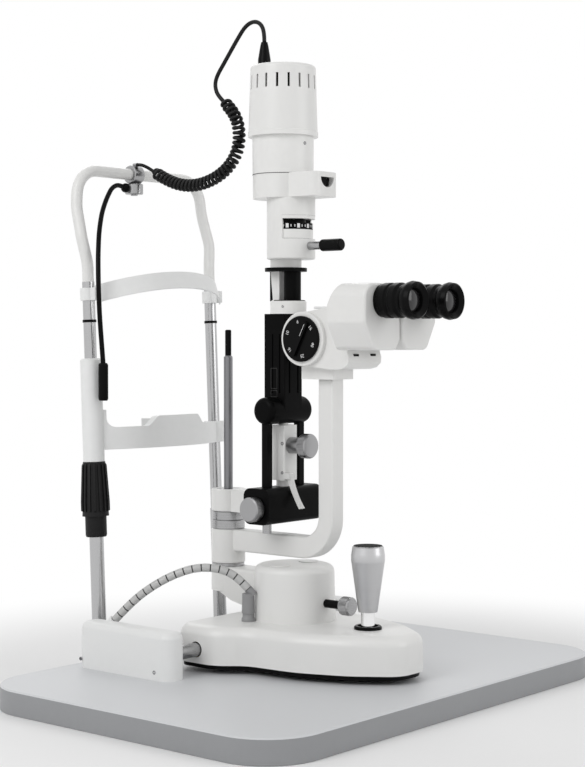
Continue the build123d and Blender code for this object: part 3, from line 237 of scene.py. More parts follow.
def machined_surface_group():
    """Fine lines round or along a metal piece, from noise that is stretched across the lines."""
    group = bpy.data.node_groups.new("machined_surface", "ShaderNodeTree")
    group_socket(group, "Colour", "NodeSocketColor", "INPUT", (0.6, 0.6, 0.6, 1))
    group_socket(group, "Line Density", "NodeSocketVector", "INPUT", (20.0, 20.0, 2400.0))
    group_socket(group, "Roughness", "NodeSocketFloat", "INPUT", 0.3)
    group_socket(group, "Line Contrast", "NodeSocketFloat", "INPUT", 0.12)
    group_socket(group, "Colour", "NodeSocketColor", "OUTPUT")
    group_socket(group, "Roughness", "NodeSocketFloat", "OUTPUT")
    group_socket(group, "Lines", "NodeSocketFloat", "OUTPUT")
    nodes = group.nodes
    links = group.links
    inlet = nodes.new("NodeGroupInput")
    outlet = nodes.new("NodeGroupOutput")
    place = nodes.new("ShaderNodeTexCoord")
    stretch = nodes.new("ShaderNodeVectorMath")
    stretch.operation = "MULTIPLY"
    links.new(place.outputs["Object"], stretch.inputs[0])
    links.new(inlet.outputs["Line Density"], stretch.inputs[1])
    lines = nodes.new("ShaderNodeTexNoise")
    lines.inputs["Scale"].default_value = 1
    lines.inputs["Detail"].default_value = 3
    links.new(stretch.outputs[0], lines.inputs["Vector"])
    centred = math_node(nodes, links, "SUBTRACT", lines.outputs["Fac"], 0.5)
    shift = math_node(nodes, links, "MULTIPLY", centred, inlet.outputs["Line Contrast"])
    value = math_node(nodes, links, "ADD", shift, 1.0)
    tone = nodes.new("ShaderNodeHueSaturation")
    links.new(inlet.outputs["Colour"], tone.inputs["Color"])
    links.new(value, tone.inputs["Value"])
    rough = math_node(nodes, links, "ADD", shift, inlet.outputs["Roughness"])
    links.new(tone.outputs["Color"], outlet.inputs["Colour"])
    links.new(rough, outlet.inputs["Roughness"])
    links.new(lines.outputs["Fac"], outlet.inputs["Lines"])
    return group


def edge_highlight_group():
    """Painted highlight: lightens a finish in patches along its convex edges, where rounded edges would catch
    the light.
    """
    group = bpy.data.node_groups.new("painted_edge_highlight", "ShaderNodeTree")
    group_socket(group, "Colour", "NodeSocketColor", "INPUT", (0.8, 0.8, 0.8, 1))
    group_socket(group, "Highlight Colour", "NodeSocketColor", "INPUT", (0.9, 0.9, 0.9, 1))
    group_socket(group, "Amount", "NodeSocketFloat", "INPUT", 0.3)
    group_socket(group, "Colour", "NodeSocketColor", "OUTPUT")
    nodes = group.nodes
    links = group.links
    inlet = nodes.new("NodeGroupInput")
    outlet = nodes.new("NodeGroupOutput")
    geometry = nodes.new("ShaderNodeNewGeometry")
    place = nodes.new("ShaderNodeTexCoord")
    patches = nodes.new("ShaderNodeTexNoise")
    patches.inputs["Scale"].default_value = 120
    links.new(place.outputs["Object"], patches.inputs["Vector"])
    edge = nodes.new("ShaderNodeMapRange")
    edge.inputs["From Min"].default_value = 0.53
    edge.inputs["From Max"].default_value = 0.62
    links.new(geometry.outputs["Pointiness"], edge.inputs["Value"])
    masked = math_node(nodes, links, "MULTIPLY", edge.outputs[0], patches.outputs["Fac"])
    share = math_node(nodes, links, "MULTIPLY", masked, inlet.outputs["Amount"])
    mix = nodes.new("ShaderNodeMix")
    mix.data_type = "RGBA"
    links.new(share, mix.inputs["Factor"])
    links.new(inlet.outputs["Colour"], mix.inputs[6])
    links.new(inlet.outputs["Highlight Colour"], mix.inputs[7])
    links.new(mix.outputs[2], outlet.inputs["Colour"])
    return group


GROUPS = {
    "handled": handled_surface_group(),
    "machined": machined_surface_group(),
    "edge_highlight": edge_highlight_group(),
}


def new_material(name):
    """An empty node material with its Principled BSDF."""
    material = bpy.data.materials.new(name)
    material.use_nodes = True
    tree = material.node_tree
    return material, tree.nodes, tree.links, tree.nodes["Principled BSDF"]


def rgba(colour):
    """A colour property with its alpha."""
    return (colour[0], colour[1], colour[2], 1.0)


def add_group(nodes, key):
    """Places one of the shared groups in a material."""
    node = nodes.new("ShaderNodeGroup")
    node.node_tree = GROUPS[key]
    return node


def add_bump(nodes, links, shader, height, strength, distance):
    """Feeds a height through a Bump node to the shader."""
    bump = nodes.new("ShaderNodeBump")
    bump.inputs["Strength"].default_value = strength
    bump.inputs["Distance"].default_value = distance
    links.new(height, bump.inputs["Height"])
    links.new(bump.outputs["Normal"], shader.inputs["Normal"])


def coated(name, colour, roughness, variation=0.05, patch=14.0, grain=900.0, bump=0.05, coat=0.0, highlight_colour=None,
           edge_highlight=0.2, gleam=0.5):
    """Paint or plastic with soft variation, fine grain and a painted highlight along its edges."""
    material, nodes, links, shader = new_material(name)
    surface = add_group(nodes, "handled")
    surface.inputs["Colour"].default_value = rgba(colour)
    surface.inputs["Tone Variation"].default_value = variation
    surface.inputs["Roughness"].default_value = roughness
    surface.inputs["Patch Scale"].default_value = patch
    surface.inputs["Grain Scale"].default_value = grain
    # Painted highlight along the convex edges, in noise patches.
    edges = add_group(nodes, "edge_highlight")
    paler = [min(1.0, channel * 1.25 + 0.02) for channel in colour]
    edges.inputs["Highlight Colour"].default_value = rgba(highlight_colour or paler)
    edges.inputs["Amount"].default_value = edge_highlight
    links.new(surface.outputs["Colour"], edges.inputs["Colour"])
    links.new(edges.outputs["Colour"], shader.inputs["Base Color"])
    links.new(surface.outputs["Roughness"], shader.inputs["Roughness"])
    add_bump(nodes, links, shader, surface.outputs["Grain"], bump, 0.0002)
    shader.inputs["Specular IOR Level"].default_value = gleam
    shader.inputs["Coat Weight"].default_value = coat
    shader.inputs["Coat Roughness"].default_value = 0.12
    return material


def machined(name, colour, roughness, lines, contrast=0.14, bump=0.08):
    """Bare metal with fine turning or brushing lines."""
    material, nodes, links, shader = new_material(name)
    surface = add_group(nodes, "machined")
    surface.inputs["Colour"].default_value = rgba(colour)
    surface.inputs["Line Density"].default_value = lines
    surface.inputs["Roughness"].default_value = roughness
    surface.inputs["Line Contrast"].default_value = contrast
    links.new(surface.outputs["Colour"], shader.inputs["Base Color"])
    links.new(surface.outputs["Roughness"], shader.inputs["Roughness"])
    add_bump(nodes, links, shader, surface.outputs["Lines"], bump, 0.0001)
    shader.inputs["Metallic"].default_value = 1.0
    return material


def glass(name, colour, roughness):
    """Clear or coated glass."""
    material, nodes, links, shader = new_material(name)
    surface = add_group(nodes, "handled")
    surface.inputs["Colour"].default_value = rgba(colour)
    surface.inputs["Tone Variation"].default_value = 0.02
    surface.inputs["Roughness"].default_value = roughness
    surface.inputs["Roughness Variation"].default_value = 0.02
    links.new(surface.outputs["Colour"], shader.inputs["Base Color"])
    links.new(surface.outputs["Roughness"], shader.inputs["Roughness"])
    shader.inputs["Transmission Weight"].default_value = 1.0
    shader.inputs["IOR"].default_value = 1.5
    return material


def make_finishes(colours):
    """All finishes by the record's slot name."""
    black = colours.black
    across_z = (15.0, 15.0, 2500.0)
    along_z = (2500.0, 2500.0, 15.0)
    across_x = (2500.0, 15.0, 15.0)
    return {
        "table_grey": coated(
            "table_laminate", colours.laminate, roughness=0.42, patch=3.0, grain=1400.0, bump=0.1,
            edge_highlight=0.1),
        "edge_band": coated(
            "table_edge_band", colours.edge_band, roughness=0.45, variation=0.06, patch=8.0, bump=0.06),
        "white_paint": coated(
            "white_enamel", colours.paint, roughness=0.38, variation=0.03, patch=9.0, grain=700.0,
            bump=0.04, coat=0.08),
        "white_plastic": coated(
            "white_moulding", colours.moulding, roughness=0.42, variation=0.03, patch=11.0, grain=1200.0),
        "black_plastic": coated(
            "black_moulding", black, roughness=0.3, variation=0.2, patch=30.0, grain=1500.0,
            highlight_colour=(0.016, 0.016, 0.016), edge_highlight=0.1, gleam=0.07),
        "black_rubber": coated(
            "black_rubber", black, roughness=0.55, variation=0.3, patch=40.0, grain=2200.0, bump=0.18,
            highlight_colour=(0.02, 0.02, 0.02), edge_highlight=0.1, gleam=0.25),
        "black_anodised": coated(
            "black_anodised", black, roughness=0.34, variation=0.2, patch=30.0, grain=1800.0, bump=0.06,
            highlight_colour=(0.016, 0.016, 0.016), edge_highlight=0.1, gleam=0.04),
        # Near-black finish: painted shade inside the lamp and in the body's vents, and the colour of the
        # lamp's seam and the joystick grip's top.
        "recess": coated(
            "dark_recess", (0.012, 0.012, 0.012), roughness=0.8, variation=0.1, patch=30.0, grain=1500.0,
            highlight_colour=(0.02, 0.02, 0.02), edge_highlight=0.0, gleam=0.1),
        "edge_shade": coated(
            "groove_shade", (0.06, 0.06, 0.06), roughness=0.6, variation=0.1, patch=30.0, grain=1500.0,
            edge_highlight=0.0, gleam=0.2),
        "marking": coated(
            "white_marking", (0.75, 0.75, 0.75), roughness=0.5, variation=0.03, patch=30.0, grain=1500.0,
            bump=0.02, edge_highlight=0.0),
        # Faint lines, lighter than the black: painted highlight along the rims of the tower block's slots.
        "outline": coated(
            "slot_rim_highlight", (0.035, 0.035, 0.035), roughness=0.5, variation=0.03, patch=30.0,
            grain=1500.0, bump=0.02, edge_highlight=0.0),
        "grey_plastic": coated(
            "grey_moulding", (0.3, 0.3, 0.305), roughness=0.4, variation=0.08, patch=30.0, grain=1500.0,
            bump=0.08),
        "grey_cable": coated(
            "grey_conduit", (0.5, 0.5, 0.495), roughness=0.3, variation=0.08, patch=40.0, grain=1800.0,
            bump=0.06),
        "connector_grey": coated(
            "connector_grey", (0.26, 0.26, 0.265), roughness=0.42, variation=0.08, patch=30.0,
            grain=1500.0, bump=0.08),
        "dark_steel": machined("machined_steel", (0.22, 0.22, 0.23), roughness=0.38, lines=across_x),
        "satin_steel": machined(
            "satin_steel", [0.8 * c for c in colours.steel], roughness=0.27, lines=across_z,
            contrast=0.08),
        "drawn_steel": machined(
            "drawn_steel", colours.steel, roughness=0.22, lines=along_z, contrast=0.03, bump=0.008),
        "chrome": machined(
            "polished_chrome", (0.8, 0.8, 0.8), roughness=0.08, lines=across_z, contrast=0.04, bump=0.02),
        "satin_aluminium": machined(
            "satin_aluminium", [1.5 * c for c in colours.aluminium], roughness=0.3, lines=across_z,
            contrast=0.1, bump=0.04),
        "brushed_aluminium": machined(
            "brushed_aluminium", colours.aluminium, roughness=0.28, lines=across_x),
        "knurled_aluminium": machined("turned_aluminium", colours.aluminium, roughness=0.3, lines=across_x),
        "brass": machined("bearing_brass", (0.7, 0.5, 0.22), roughness=0.3, lines=across_z),
        "lens_glass": glass("coated_lens", (0.82, 0.88, 0.95), roughness=0.04),
        # Eye lenses: opaque and near black, painted shade of the dark inside of the eyepieces, with a thin
        # coat for reflections.
        "eye_lens": coated(
            "shaded_eye_lens", (0.012, 0.011, 0.012), roughness=0.08, variation=0.1, patch=60.0,
            bump=0.0, coat=0.3, edge_highlight=0.0, gleam=0.35),
        "bulb_glass": glass("bulb_glass", (0.98, 0.98, 0.95), roughness=0.05),
        "mirror_face": machined(
            "mirror_face", (0.9, 0.91, 0.93), roughness=0.03, lines=across_z, contrast=0.01, bump=0.0),
    }


FINISHES = {}


# Modelling helpers


def clear_selection():
    """Deselects everything, because an operator acts on all that is selected."""
    if bpy.context.object and bpy.context.object.mode != "OBJECT":
        bpy.ops.object.mode_set(mode="OBJECT")
    for selected in list(bpy.context.selected_objects):
        selected.select_set(False)


def make_active(piece):
    """Selects one piece alone."""
    clear_selection()
    piece.select_set(True)
    bpy.context.view_layer.objects.active = piece


def settle(piece, name, slot, body, smooth_angle=35.0):
    """Places a finished piece: its place goes into its mesh, then its finish and its body."""
    make_active(piece)
    bpy.ops.object.transform_apply(location=True, rotation=True, scale=True)
    bpy.ops.object.mode_set(mode="EDIT")
    bpy.ops.mesh.select_all(action="SELECT")
    bpy.ops.mesh.remove_doubles(threshold=1e-6)
    bpy.ops.mesh.normals_make_consistent(inside=False)
    bpy.ops.object.mode_set(mode="OBJECT")
    bpy.ops.object.shade_smooth_by_angle(angle=math.radians(smooth_angle))
    piece.name = name
    piece.data.name = name
    piece.data.materials.clear()
    piece.data.materials.append(FINISHES[slot])
    if body:
        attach(piece, body)
    return piece


def turned(profile, segments=64):
    """A disc extruded and scaled step by step along Z. The profile is (along, radius) in millimetres."""
    clear_selection()
    along, radius = profile[0]
    bpy.ops.mesh.primitive_circle_add(vertices=segments, radius=radius * MM, fill_type="NGON")
    piece = bpy.context.object
    bpy.ops.object.mode_set(mode="EDIT")
    bpy.ops.mesh.select_all(action="SELECT")
    bpy.ops.transform.translate(value=(0, 0, along * MM))
    for next_along, next_radius in profile[1:]:
        step = (0, 0, (next_along - along) * MM)
        bpy.ops.mesh.extrude_region_move(TRANSFORM_OT_translate={"value": step})
        share = next_radius / radius
        bpy.ops.transform.resize(value=(share, share, 1.0), center_override=(0, 0, next_along * MM))
        along = next_along
        radius = next_radius
    bpy.ops.object.mode_set(mode="OBJECT")
    return piece


def ring(profile, segments=96):
    """A ring round the Z axis, extruded from an open circle step by step and closed on its first point."""
    clear_selection()
    along, radius = profile[0]
    bpy.ops.mesh.primitive_circle_add(vertices=segments, radius=radius * MM, fill_type="NOTHING")
    piece = bpy.context.object
    bpy.ops.object.mode_set(mode="EDIT")
    bpy.ops.mesh.select_all(action="SELECT")
    bpy.ops.transform.translate(value=(0, 0, along * MM))
    for next_along, next_radius in profile[1:] + profile[:1]:
        step = (0, 0, (next_along - along) * MM)
        bpy.ops.mesh.extrude_region_move(TRANSFORM_OT_translate={"value": step})
        share = next_radius / radius
        bpy.ops.transform.resize(value=(share, share, 1.0), center_override=(0, 0, next_along * MM))
        along = next_along
        radius = next_radius
    bpy.ops.object.mode_set(mode="OBJECT")
    return piece


def level_ring(profile):
    """A ring whose profile is (height, radius), its heights taken from the table's top."""
    return ring([(level(height) / MM, radius) for height, radius in profile])


def fluted(radius, depth, length, ridges):
    """A disc with ridges round it, extruded along Z."""
    clear_selection()
    bpy.ops.mesh.primitive_circle_add(vertices=2 * ridges, radius=radius * MM, fill_type="NGON")
    piece = bpy.context.object
    bpy.ops.object.mode_set(mode="EDIT")
    bpy.ops.mesh.select_mode(type="VERT")
    bpy.ops.mesh.select_all(action="DESELECT")
    bpy.ops.object.mode_set(mode="OBJECT")
    for vertex in piece.data.vertices:
        vertex.select = vertex.index % 2 == 0
    bpy.ops.object.mode_set(mode="EDIT")
    share = 1 - depth / radius
    bpy.ops.transform.resize(value=(share, share, 1.0), center_override=(0, 0, 0))
    bpy.ops.mesh.select_all(action="SELECT")
    bpy.ops.mesh.extrude_region_move(TRANSFORM_OT_translate={"value": (0, 0, length * MM)})
    bpy.ops.object.mode_set(mode="OBJECT")
    return piece


def block(size, place, bevel, turn=(0, 0, 0)):
    """A box with rounded edges, its size in millimetres."""
    clear_selection()
    bpy.ops.mesh.primitive_cube_add(size=1, location=(0, 0, 0))
    piece = bpy.context.object
    piece.scale = [edge * MM for edge in size]
    bpy.ops.object.transform_apply(location=False, rotation=False, scale=True)
    edges = piece.modifiers.new("edges", "BEVEL")
    edges.width = bevel * MM
    edges.segments = 2
    bpy.ops.object.modifier_apply(modifier="edges")
    piece.location = place
    piece.rotation_euler = turn
    return piece


def joined(pieces):
    """One object from several, each turned and placed first."""
    clear_selection()
    for piece in pieces:
        piece.select_set(True)
    bpy.context.view_layer.objects.active = pieces[0]
    bpy.ops.object.join()
    return bpy.context.object


AXIS_TURNS = {
    "Z": (0, 0, 0),
    "-Z": (math.pi, 0, 0),
    "X": (0, math.pi / 2, 0),
    "-X": (0, -math.pi / 2, 0),
    "Y": (-math.pi / 2, 0, 0),
    "-Y": (math.pi / 2, 0, 0),
}


def put(piece, place, axis="Z"):
    """Turns a piece from +Z to an axis and moves it to its place."""
    piece.rotation_euler = AXIS_TURNS[axis]
    piece.location = place
    return piece


# Cords


def smooth_line(points, steps=12):
    """Points along the NURBS spline whose control points are the route's."""
    curve = bpy.data.curves.new("route", "CURVE")
    curve.dimensions = "3D"
    curve.resolution_u = steps
    spline = curve.splines.new("NURBS")
    spline.points.add(len(points) - 1)
    for point, place in zip(spline.points, points):
        point.co = (*place, 1.0)
    spline.order_u = 3
    spline.use_endpoint_u = True
    carrier = bpy.data.objects.new("route", curve)
    bpy.context.scene.collection.objects.link(carrier)
    bpy.context.view_layer.update()
    line = bpy.data.meshes.new_from_object(carrier)
    places = [vertex.co.copy() for vertex in line.vertices]
    bpy.data.objects.remove(carrier)
    bpy.data.meshes.remove(line)
    return places


def line_length(places):
    """Length of a line through places."""
    return sum((after - before).length for before, after in zip(places, places[1:]))


def evenly(places, count):
    """Places at even distances along a line."""
    total = line_length(places)
    spaced = []
    walked = 0.0
    index = 0
    for number in range(count):
        target = total * number / (count - 1)
        while index < len(places) - 2 and walked + (places[index + 1] - places[index]).length < target:
            walked += (places[index + 1] - places[index]).length
            index += 1
        run = places[index + 1] - places[index]
        share = 0.0 if run.length == 0 else min(1.0, (target - walked) / run.length)
        spaced.append(places[index] + run * share)
    return spaced


def tube(name, places, diameter, radii=None, sides=5):
    """Mesh tube along places, with an optional radius factor at each one."""
    curve = bpy.data.curves.new(name, "CURVE")
    curve.dimensions = "3D"
    curve.bevel_depth = diameter / 2
    curve.bevel_resolution = sides
    curve.use_fill_caps = True
    spline = curve.splines.new("POLY")
    spline.points.add(len(places) - 1)
    for index, place in enumerate(places):
        spline.points[index].co = (*place, 1.0)
        spline.points[index].radius = radii[index] if radii else 1.0
    carrier = bpy.data.objects.new(name, curve)
    bpy.context.scene.collection.objects.link(carrier)
    bpy.context.view_layer.update()
    mesh = bpy.data.meshes.new_from_object(carrier)
    bpy.data.objects.remove(carrier)
    piece = bpy.data.objects.new(name, mesh)
    bpy.context.scene.collection.objects.link(piece)
    return piece


def finish_tube(piece, slot):
    """Closes a tube's seams and gives it its finish."""
    make_active(piece)
    bpy.ops.object.mode_set(mode="EDIT")
    bpy.ops.mesh.select_all(action="SELECT")
    bpy.ops.mesh.remove_doubles(threshold=1e-6)
    bpy.ops.mesh.normals_make_consistent(inside=False)
    bpy.ops.object.mode_set(mode="OBJECT")
    bpy.ops.object.shade_smooth()
    piece.data.materials.clear()
    piece.data.materials.append(FINISHES[slot])


def share_out(places, shares):
    """Consecutive stretches of a line, each starting where the last one ended."""
    count = len(places) - 1
    cuts = [round(count * sum(shares[:part])) for part in range(len(shares) + 1)]
    return [places[first:last + 1] for first, last in zip(cuts, cuts[1:])]


class SLITLAMP_OT_conduit(bpy.types.Operator):
    """Ribbed conduit from the base to the rail cover, in two pieces."""

    bl_idname = "slitlamp.conduit"
    bl_label = "Conduit"

    def execute(self, context):
        sizes = context.scene.slit_lamp_sizes
        line = smooth_line(on_route(CONDUIT_ROUTE))
        ribs = round(line_length(line) / sizes.conduit_pitch)
        steps = len(RIB_SHAPE)
        places = evenly(line, ribs * steps + 1)
        radii = [RIB_SHAPE[index % steps] for index in range(len(places))]
        half = (ribs // 2) * steps
        stretches = [
            (places[:half + 1], radii[:half + 1], "base", "axle_guides"),
            (places[half:], radii[half:], "axle_guides", "stand"),
        ]
        for number, (run, factors, before, after) in enumerate(stretches, 1):
            piece = tube(f"conduit_{number}", run, sizes.conduit_diameter, factors)
            finish_tube(piece, "grey_cable")
            self.paint_groove_shade(piece, places, sizes.conduit_diameter / 2)
            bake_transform(piece)
            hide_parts("conduit")
        return {"FINISHED"}

    def paint_groove_shade(self, piece, places, radius):
        """Gives the faces at the bottom of the grooves a dark finish, painted shade where the grooves fall in
        shadow.
        """
        line = KDTree(len(places))
        for index, place in enumerate(places):
            line.insert(place, index)
        line.balance()
        piece.data.materials.append(FINISHES["edge_shade"])
        for face in piece.data.polygons:
            if line.find(face.center)[2] < GROOVE_SHADE_SHARE * radius:
                face.material_index = 1


class SLITLAMP_OT_lead(bpy.types.Operator):
    """Lead from the plug, its coil and its tail, split where the bodies below it move."""

    bl_idname = "slitlamp.lead"
    bl_label = "Lead"

    def execute(self, context):
        sizes = context.scene.slit_lamp_sizes
        lead = evenly(smooth_line(on_route(LEAD_ROUTE)), 90)
        self.add(lead, "power_lead_run", sizes.lead_diameter, "tower", "illumination_arm", "power_lead")
        helix = self.helix(smooth_line(on_route(COIL_ROUTE)), sizes)
        chain = ["illumination_arm", "column", "base", "axle_guides", "stand"]
        stretches = share_out(helix, COIL_SHARES)
        tail = evenly(smooth_line([stretches[-1][-1]] + on_route(TAIL_ROUTE[1:])), 24)
        stretches[-1] = stretches[-1] + tail[1:]
        for number, run in enumerate(stretches, 1):
            replaced = "lead_tail" if number == len(stretches) else "curly_lead"
            self.add(run, f"curly_lead_{number}", sizes.coil_wire, chain[number - 1], chain[number], replaced)
        return {"FINISHED"}

    def add(self, run, name, diameter, before, after, replaced):
        """One piece of the lead."""
        piece = tube(name, run, diameter, sides=4)
        finish_tube(piece, "black_rubber")
        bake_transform(piece)
        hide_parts(replaced)

    def helix(self, line, sizes):
        """Turns round the route, which start and end near its middle line."""
        count = sizes.coil_turns * COIL_STEPS
        places = evenly(line, count + 1)
        radius = (sizes.coil_diameter - sizes.coil_wire) / 2
        turns = []
        for index, place in enumerate(places):
            before = places[max(index - 1, 0)]
            after = places[min(index + 1, count)]
            along = (after - before).normalized()
            side = Vector((1, 0, 0))
            up = along.cross(side).normalized()
            angle = 2 * math.pi * index / COIL_STEPS
            share = min(1.0, index / COIL_STEPS, (count - index) / COIL_STEPS)
            reach = radius * math.sin(share * math.pi / 2)
            turns.append(place + (side * math.sin(angle) + up * math.cos(angle)) * reach)
        return turns


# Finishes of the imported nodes


SMOOTH_ANGLE = 28.0
NODE_FINISH = {
    "rail_covers": "white_plastic",
    "posts": "drawn_steel",
    "test_rod": "dark_steel",
    "conduit_connector": "connector_grey",
    "magnification_knobs": "black_plastic",
}
SPLITS = {
    "table_top": ("edge_band", lambda place, height, normal: abs(normal.z) < 0.5),
    "lens_barrel": ("black_anodised", lambda place, height, normal: height > 396 and (
        427.5 < height < 432.5 or (height < 432 and (place.y < 31.5 or place.y > 42.8)))),
    # The slit body's band between the slit scale and the hood is black as painted shade of the gap there, on
    # the half towards the examiner.
    "slit_body": ("black_anodised", lambda place, height, normal: 479.9 < height < 488.2 and place.y < 22
                  and math.hypot(place.x, place.y - OPTIC_Y) < 24),
    "slit_lever": ("black_plastic", lambda place, height, normal: place.y < -20.9),
    "test_rod": ("black_plastic", lambda place, height, normal: height > 336),
    "post_clips": ("black_plastic", lambda place, height, normal: height < 380),
    "posts": ("black_rubber", lambda place, height, normal: place.x < 0 and 132 < height < 157
              and math.hypot(place.x + 100, place.y - POST_FOOT_Y / MM - height * math.tan(POST_LEAN)) > 9),
    "fixation_arm": ("satin_steel", lambda place, height, normal: 523 < height < 535.6
                     and math.hypot(place.x + 10, place.y - 253) < 11.6),
    "tower_rods": ("satin_steel", lambda place, height, normal: height < 156),
    "joystick_grip": ("recess", lambda place, height, normal: height > 137.6),
    "lock_knob": ("black_plastic", lambda place, height, normal: place.y > -49.8),
}
REPLACED = {"power_lead", "curly_lead", "lead_tail", "conduit"}


class SLITLAMP_OT_finishes(bpy.types.Operator):
    """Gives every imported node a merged, smoothly shaded copy with its own finish."""

    bl_idname = "slitlamp.finishes"
    bl_label = "Finishes"

    def execute(self, context):
        FINISHES.update(make_finishes(context.scene.slit_lamp_colours))
        slots = {entry["node"]: entry["material_slot"] for entry in frame["record"]["subparts"]}
        for body, members in frame["record"]["behaviour"]["bodies"].items():
            for node in members:
                if node not in REPLACED:
                    self.dress(node, body, slots[node])
        return {"FINISHED"}

    def dress(self, node, body, slot):
        """Copies a node's mesh, merges its loose triangles and shades it by angle."""
        source = frame["nodes"][node]
        piece = bpy.data.objects.new(f"{node}_shell", source.data.copy())
        bpy.context.scene.collection.objects.link(piece)
        make_active(piece)
        bpy.ops.object.mode_set(mode="EDIT")
        bpy.ops.mesh.select_all(action="SELECT")
        bpy.ops.mesh.remove_doubles(threshold=1e-6)
        bpy.ops.object.mode_set(mode="OBJECT")
        if piece.data.has_custom_normals:
            bpy.ops.mesh.customdata_custom_splitnormals_clear()
        bpy.ops.object.shade_smooth_by_angle(angle=math.radians(SMOOTH_ANGLE))
        piece.data.materials.clear()
        piece.data.materials.append(FINISHES[NODE_FINISH.get(node, slot)])
        if node in SPLITS:
            second, chosen = SPLITS[node]
            piece.data.materials.append(FINISHES[second])
            for face in piece.data.polygons:
                if chosen(face.center / MM, (face.center.z - TABLE_TOP) / MM, face.normal):
                    face.material_index = 1
        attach(piece, body)
        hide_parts(node)




# Small details


SCREWS = [
    ("cover_screw_back", (-162, 182.9, 9.2), "-X", 2.0, "stand"),
    ("cover_screw_front", (-162, 71.4, 8.5), "-X", 2.0, "stand"),
    ("far_cover_screw_back", (162, 182.9, 9.2), "X", 2.0, "stand"),
    ("far_cover_screw_front", (162, 71.4, 8.5), "X", 2.0, "stand"),
    ("lamp_screw", (-3.1, -0.2, 565.3), "-Y", 1.8, "tower"),
    ("body_screw", (-28, -47.4, 357.7), "-X", 1.2, "microscope"),
    ("far_body_screw", (28, -47.4, 357.7), "X", 1.2, "microscope"),
    ("block_screw_high", (-11, 25, 241.2), "-X", 1.9, "tower"),
    ("block_screw_low", (-11, 25, 209.4), "-X", 1.7, "tower"),
    ("collar_screw", (-18.3, 18.3, 389.8), "-X", 1.3, "tower"),
]


class SLITLAMP_OT_screws(bpy.types.Operator):
    """Small socket screws, each a turned head with a round socket."""

    bl_idname = "slitlamp.screws"
    bl_label = "Screws"

    def execute(self, context):
        for name, place, axis, radius, body in SCREWS:
            head = turned([(-0.6, radius), (0.3, radius), (0.55, radius - 0.25), (0.55, 0.6 * radius),
                           (-0.3, 0.55 * radius)], 24)
            settle(put(head, spot(*place), axis), name, "dark_steel", body)
        return {"FINISHED"}


DIAL_NUMBERS = ["6", "10", "16", "25", "40", "16"]
DIAL_LETTER = 5.2
DIAL_FIRST = 10.0
DIAL_FACE = 36.34
DIAL_GRIP_FACE = 39.32
DIAL_REACH = 18.2
DIAL_Y = -21
DIAL_HEIGHT = 355
GRIP_LEAN = math.radians(28)
GRIP_LINE_REACH = 10.5
GRIP_LINE_LENGTH = 14


class SLITLAMP_OT_dial(bpy.types.Operator):
    """Numerals round both magnification knobs and a line on each grip."""

    bl_idname = "slitlamp.dial"
    bl_label = "Dial"

    def execute(self, context):
        for side, name in ((-1, "left_dial_marks"), (1, "right_dial_marks")):
            marks = [self.numeral(side, text, index) for index, text in enumerate(DIAL_NUMBERS)]
            marks.append(self.grip_line(side))
            settle(joined(marks), name, "marking", "magnification")
        return {"FINISHED"}

    def numeral(self, side, text, index):
        """One raised numeral on the knob's face, its foot towards the centre."""
        clear_selection()
        bpy.ops.object.text_add(location=(0, 0, 0))
        label = bpy.context.object
        label.data.body = text
        label.data.size = DIAL_LETTER * MM
        label.data.extrude = 0.06 * MM
        label.data.align_x = "CENTER"
        label.data.align_y = "CENTER"
        label.data.resolution_u = 4
        bpy.ops.object.convert(target="MESH")
        angle = math.radians(DIAL_FIRST + 360 * index / len(DIAL_NUMBERS))
        centre = Vector((side * DIAL_FACE, DIAL_Y, DIAL_HEIGHT))
        away = Vector((0, -side * math.sin(angle), math.cos(angle)))
        out = Vector((side, 0, 0))
        across = away.cross(out)
        label.rotation_euler = Matrix((across, away, out)).transposed().to_euler()
        label.location = spot(*(centre + away * DIAL_REACH))
        return label

    def grip_line(self, side):
        """Fine white line along the grip bar."""
        back = GRIP_LINE_REACH * math.sin(GRIP_LEAN)
        rise = GRIP_LINE_REACH * math.cos(GRIP_LEAN)
        place = spot(side * DIAL_GRIP_FACE, DIAL_Y - back, DIAL_HEIGHT + rise)
        return block((0.12, 0.5, GRIP_LINE_LENGTH), place, 0.03, (GRIP_LEAN, 0, 0))




SLIT_TICKS = 36
SLIT_TICK_RADIUS = 23.72
SLIT_TICK_HEIGHT = 476.6
OPTIC_Y = 21.7


class SLITLAMP_OT_slit_scale(bpy.types.Operator):
    """White band and graduations round the slit ring."""

    bl_idname = "slitlamp.slit_scale"
    bl_label = "Slit scale"

    def execute(self, context):
        axis = Vector((0, OPTIC_Y * MM, 0))
        band = level_ring([(463.1, 23.3), (463.1, 23.85), (472.6, 23.95), (473.0, 23.6)])
        settle(put(band, axis), "slit_ring_band", "white_paint", "slit_ring")
        hood = level_ring([(484.2, 15), (484.2, 26.1), (487.9, 26.1), (487.9, 15)])
        settle(put(hood, axis), "slit_ring_hood", "white_paint", "tower")
        ticks = []
        for index in range(SLIT_TICKS):
            angle = 2 * math.pi * index / SLIT_TICKS
            tall = 4.6 if index % 3 == 0 else 2.6
            wide = 3.2 if index % 3 == 0 else 0.9
            across = SLIT_TICK_RADIUS * math.sin(angle)
            back = SLIT_TICK_RADIUS * math.cos(angle)
            place = spot(across, OPTIC_Y + back, SLIT_TICK_HEIGHT)
            ticks.append(block((wide, 0.16, tall), place, 0.04, (0, 0, -angle)))
        settle(joined(ticks), "slit_ring_scale", "marking", "slit_ring")
        return {"FINISHED"}


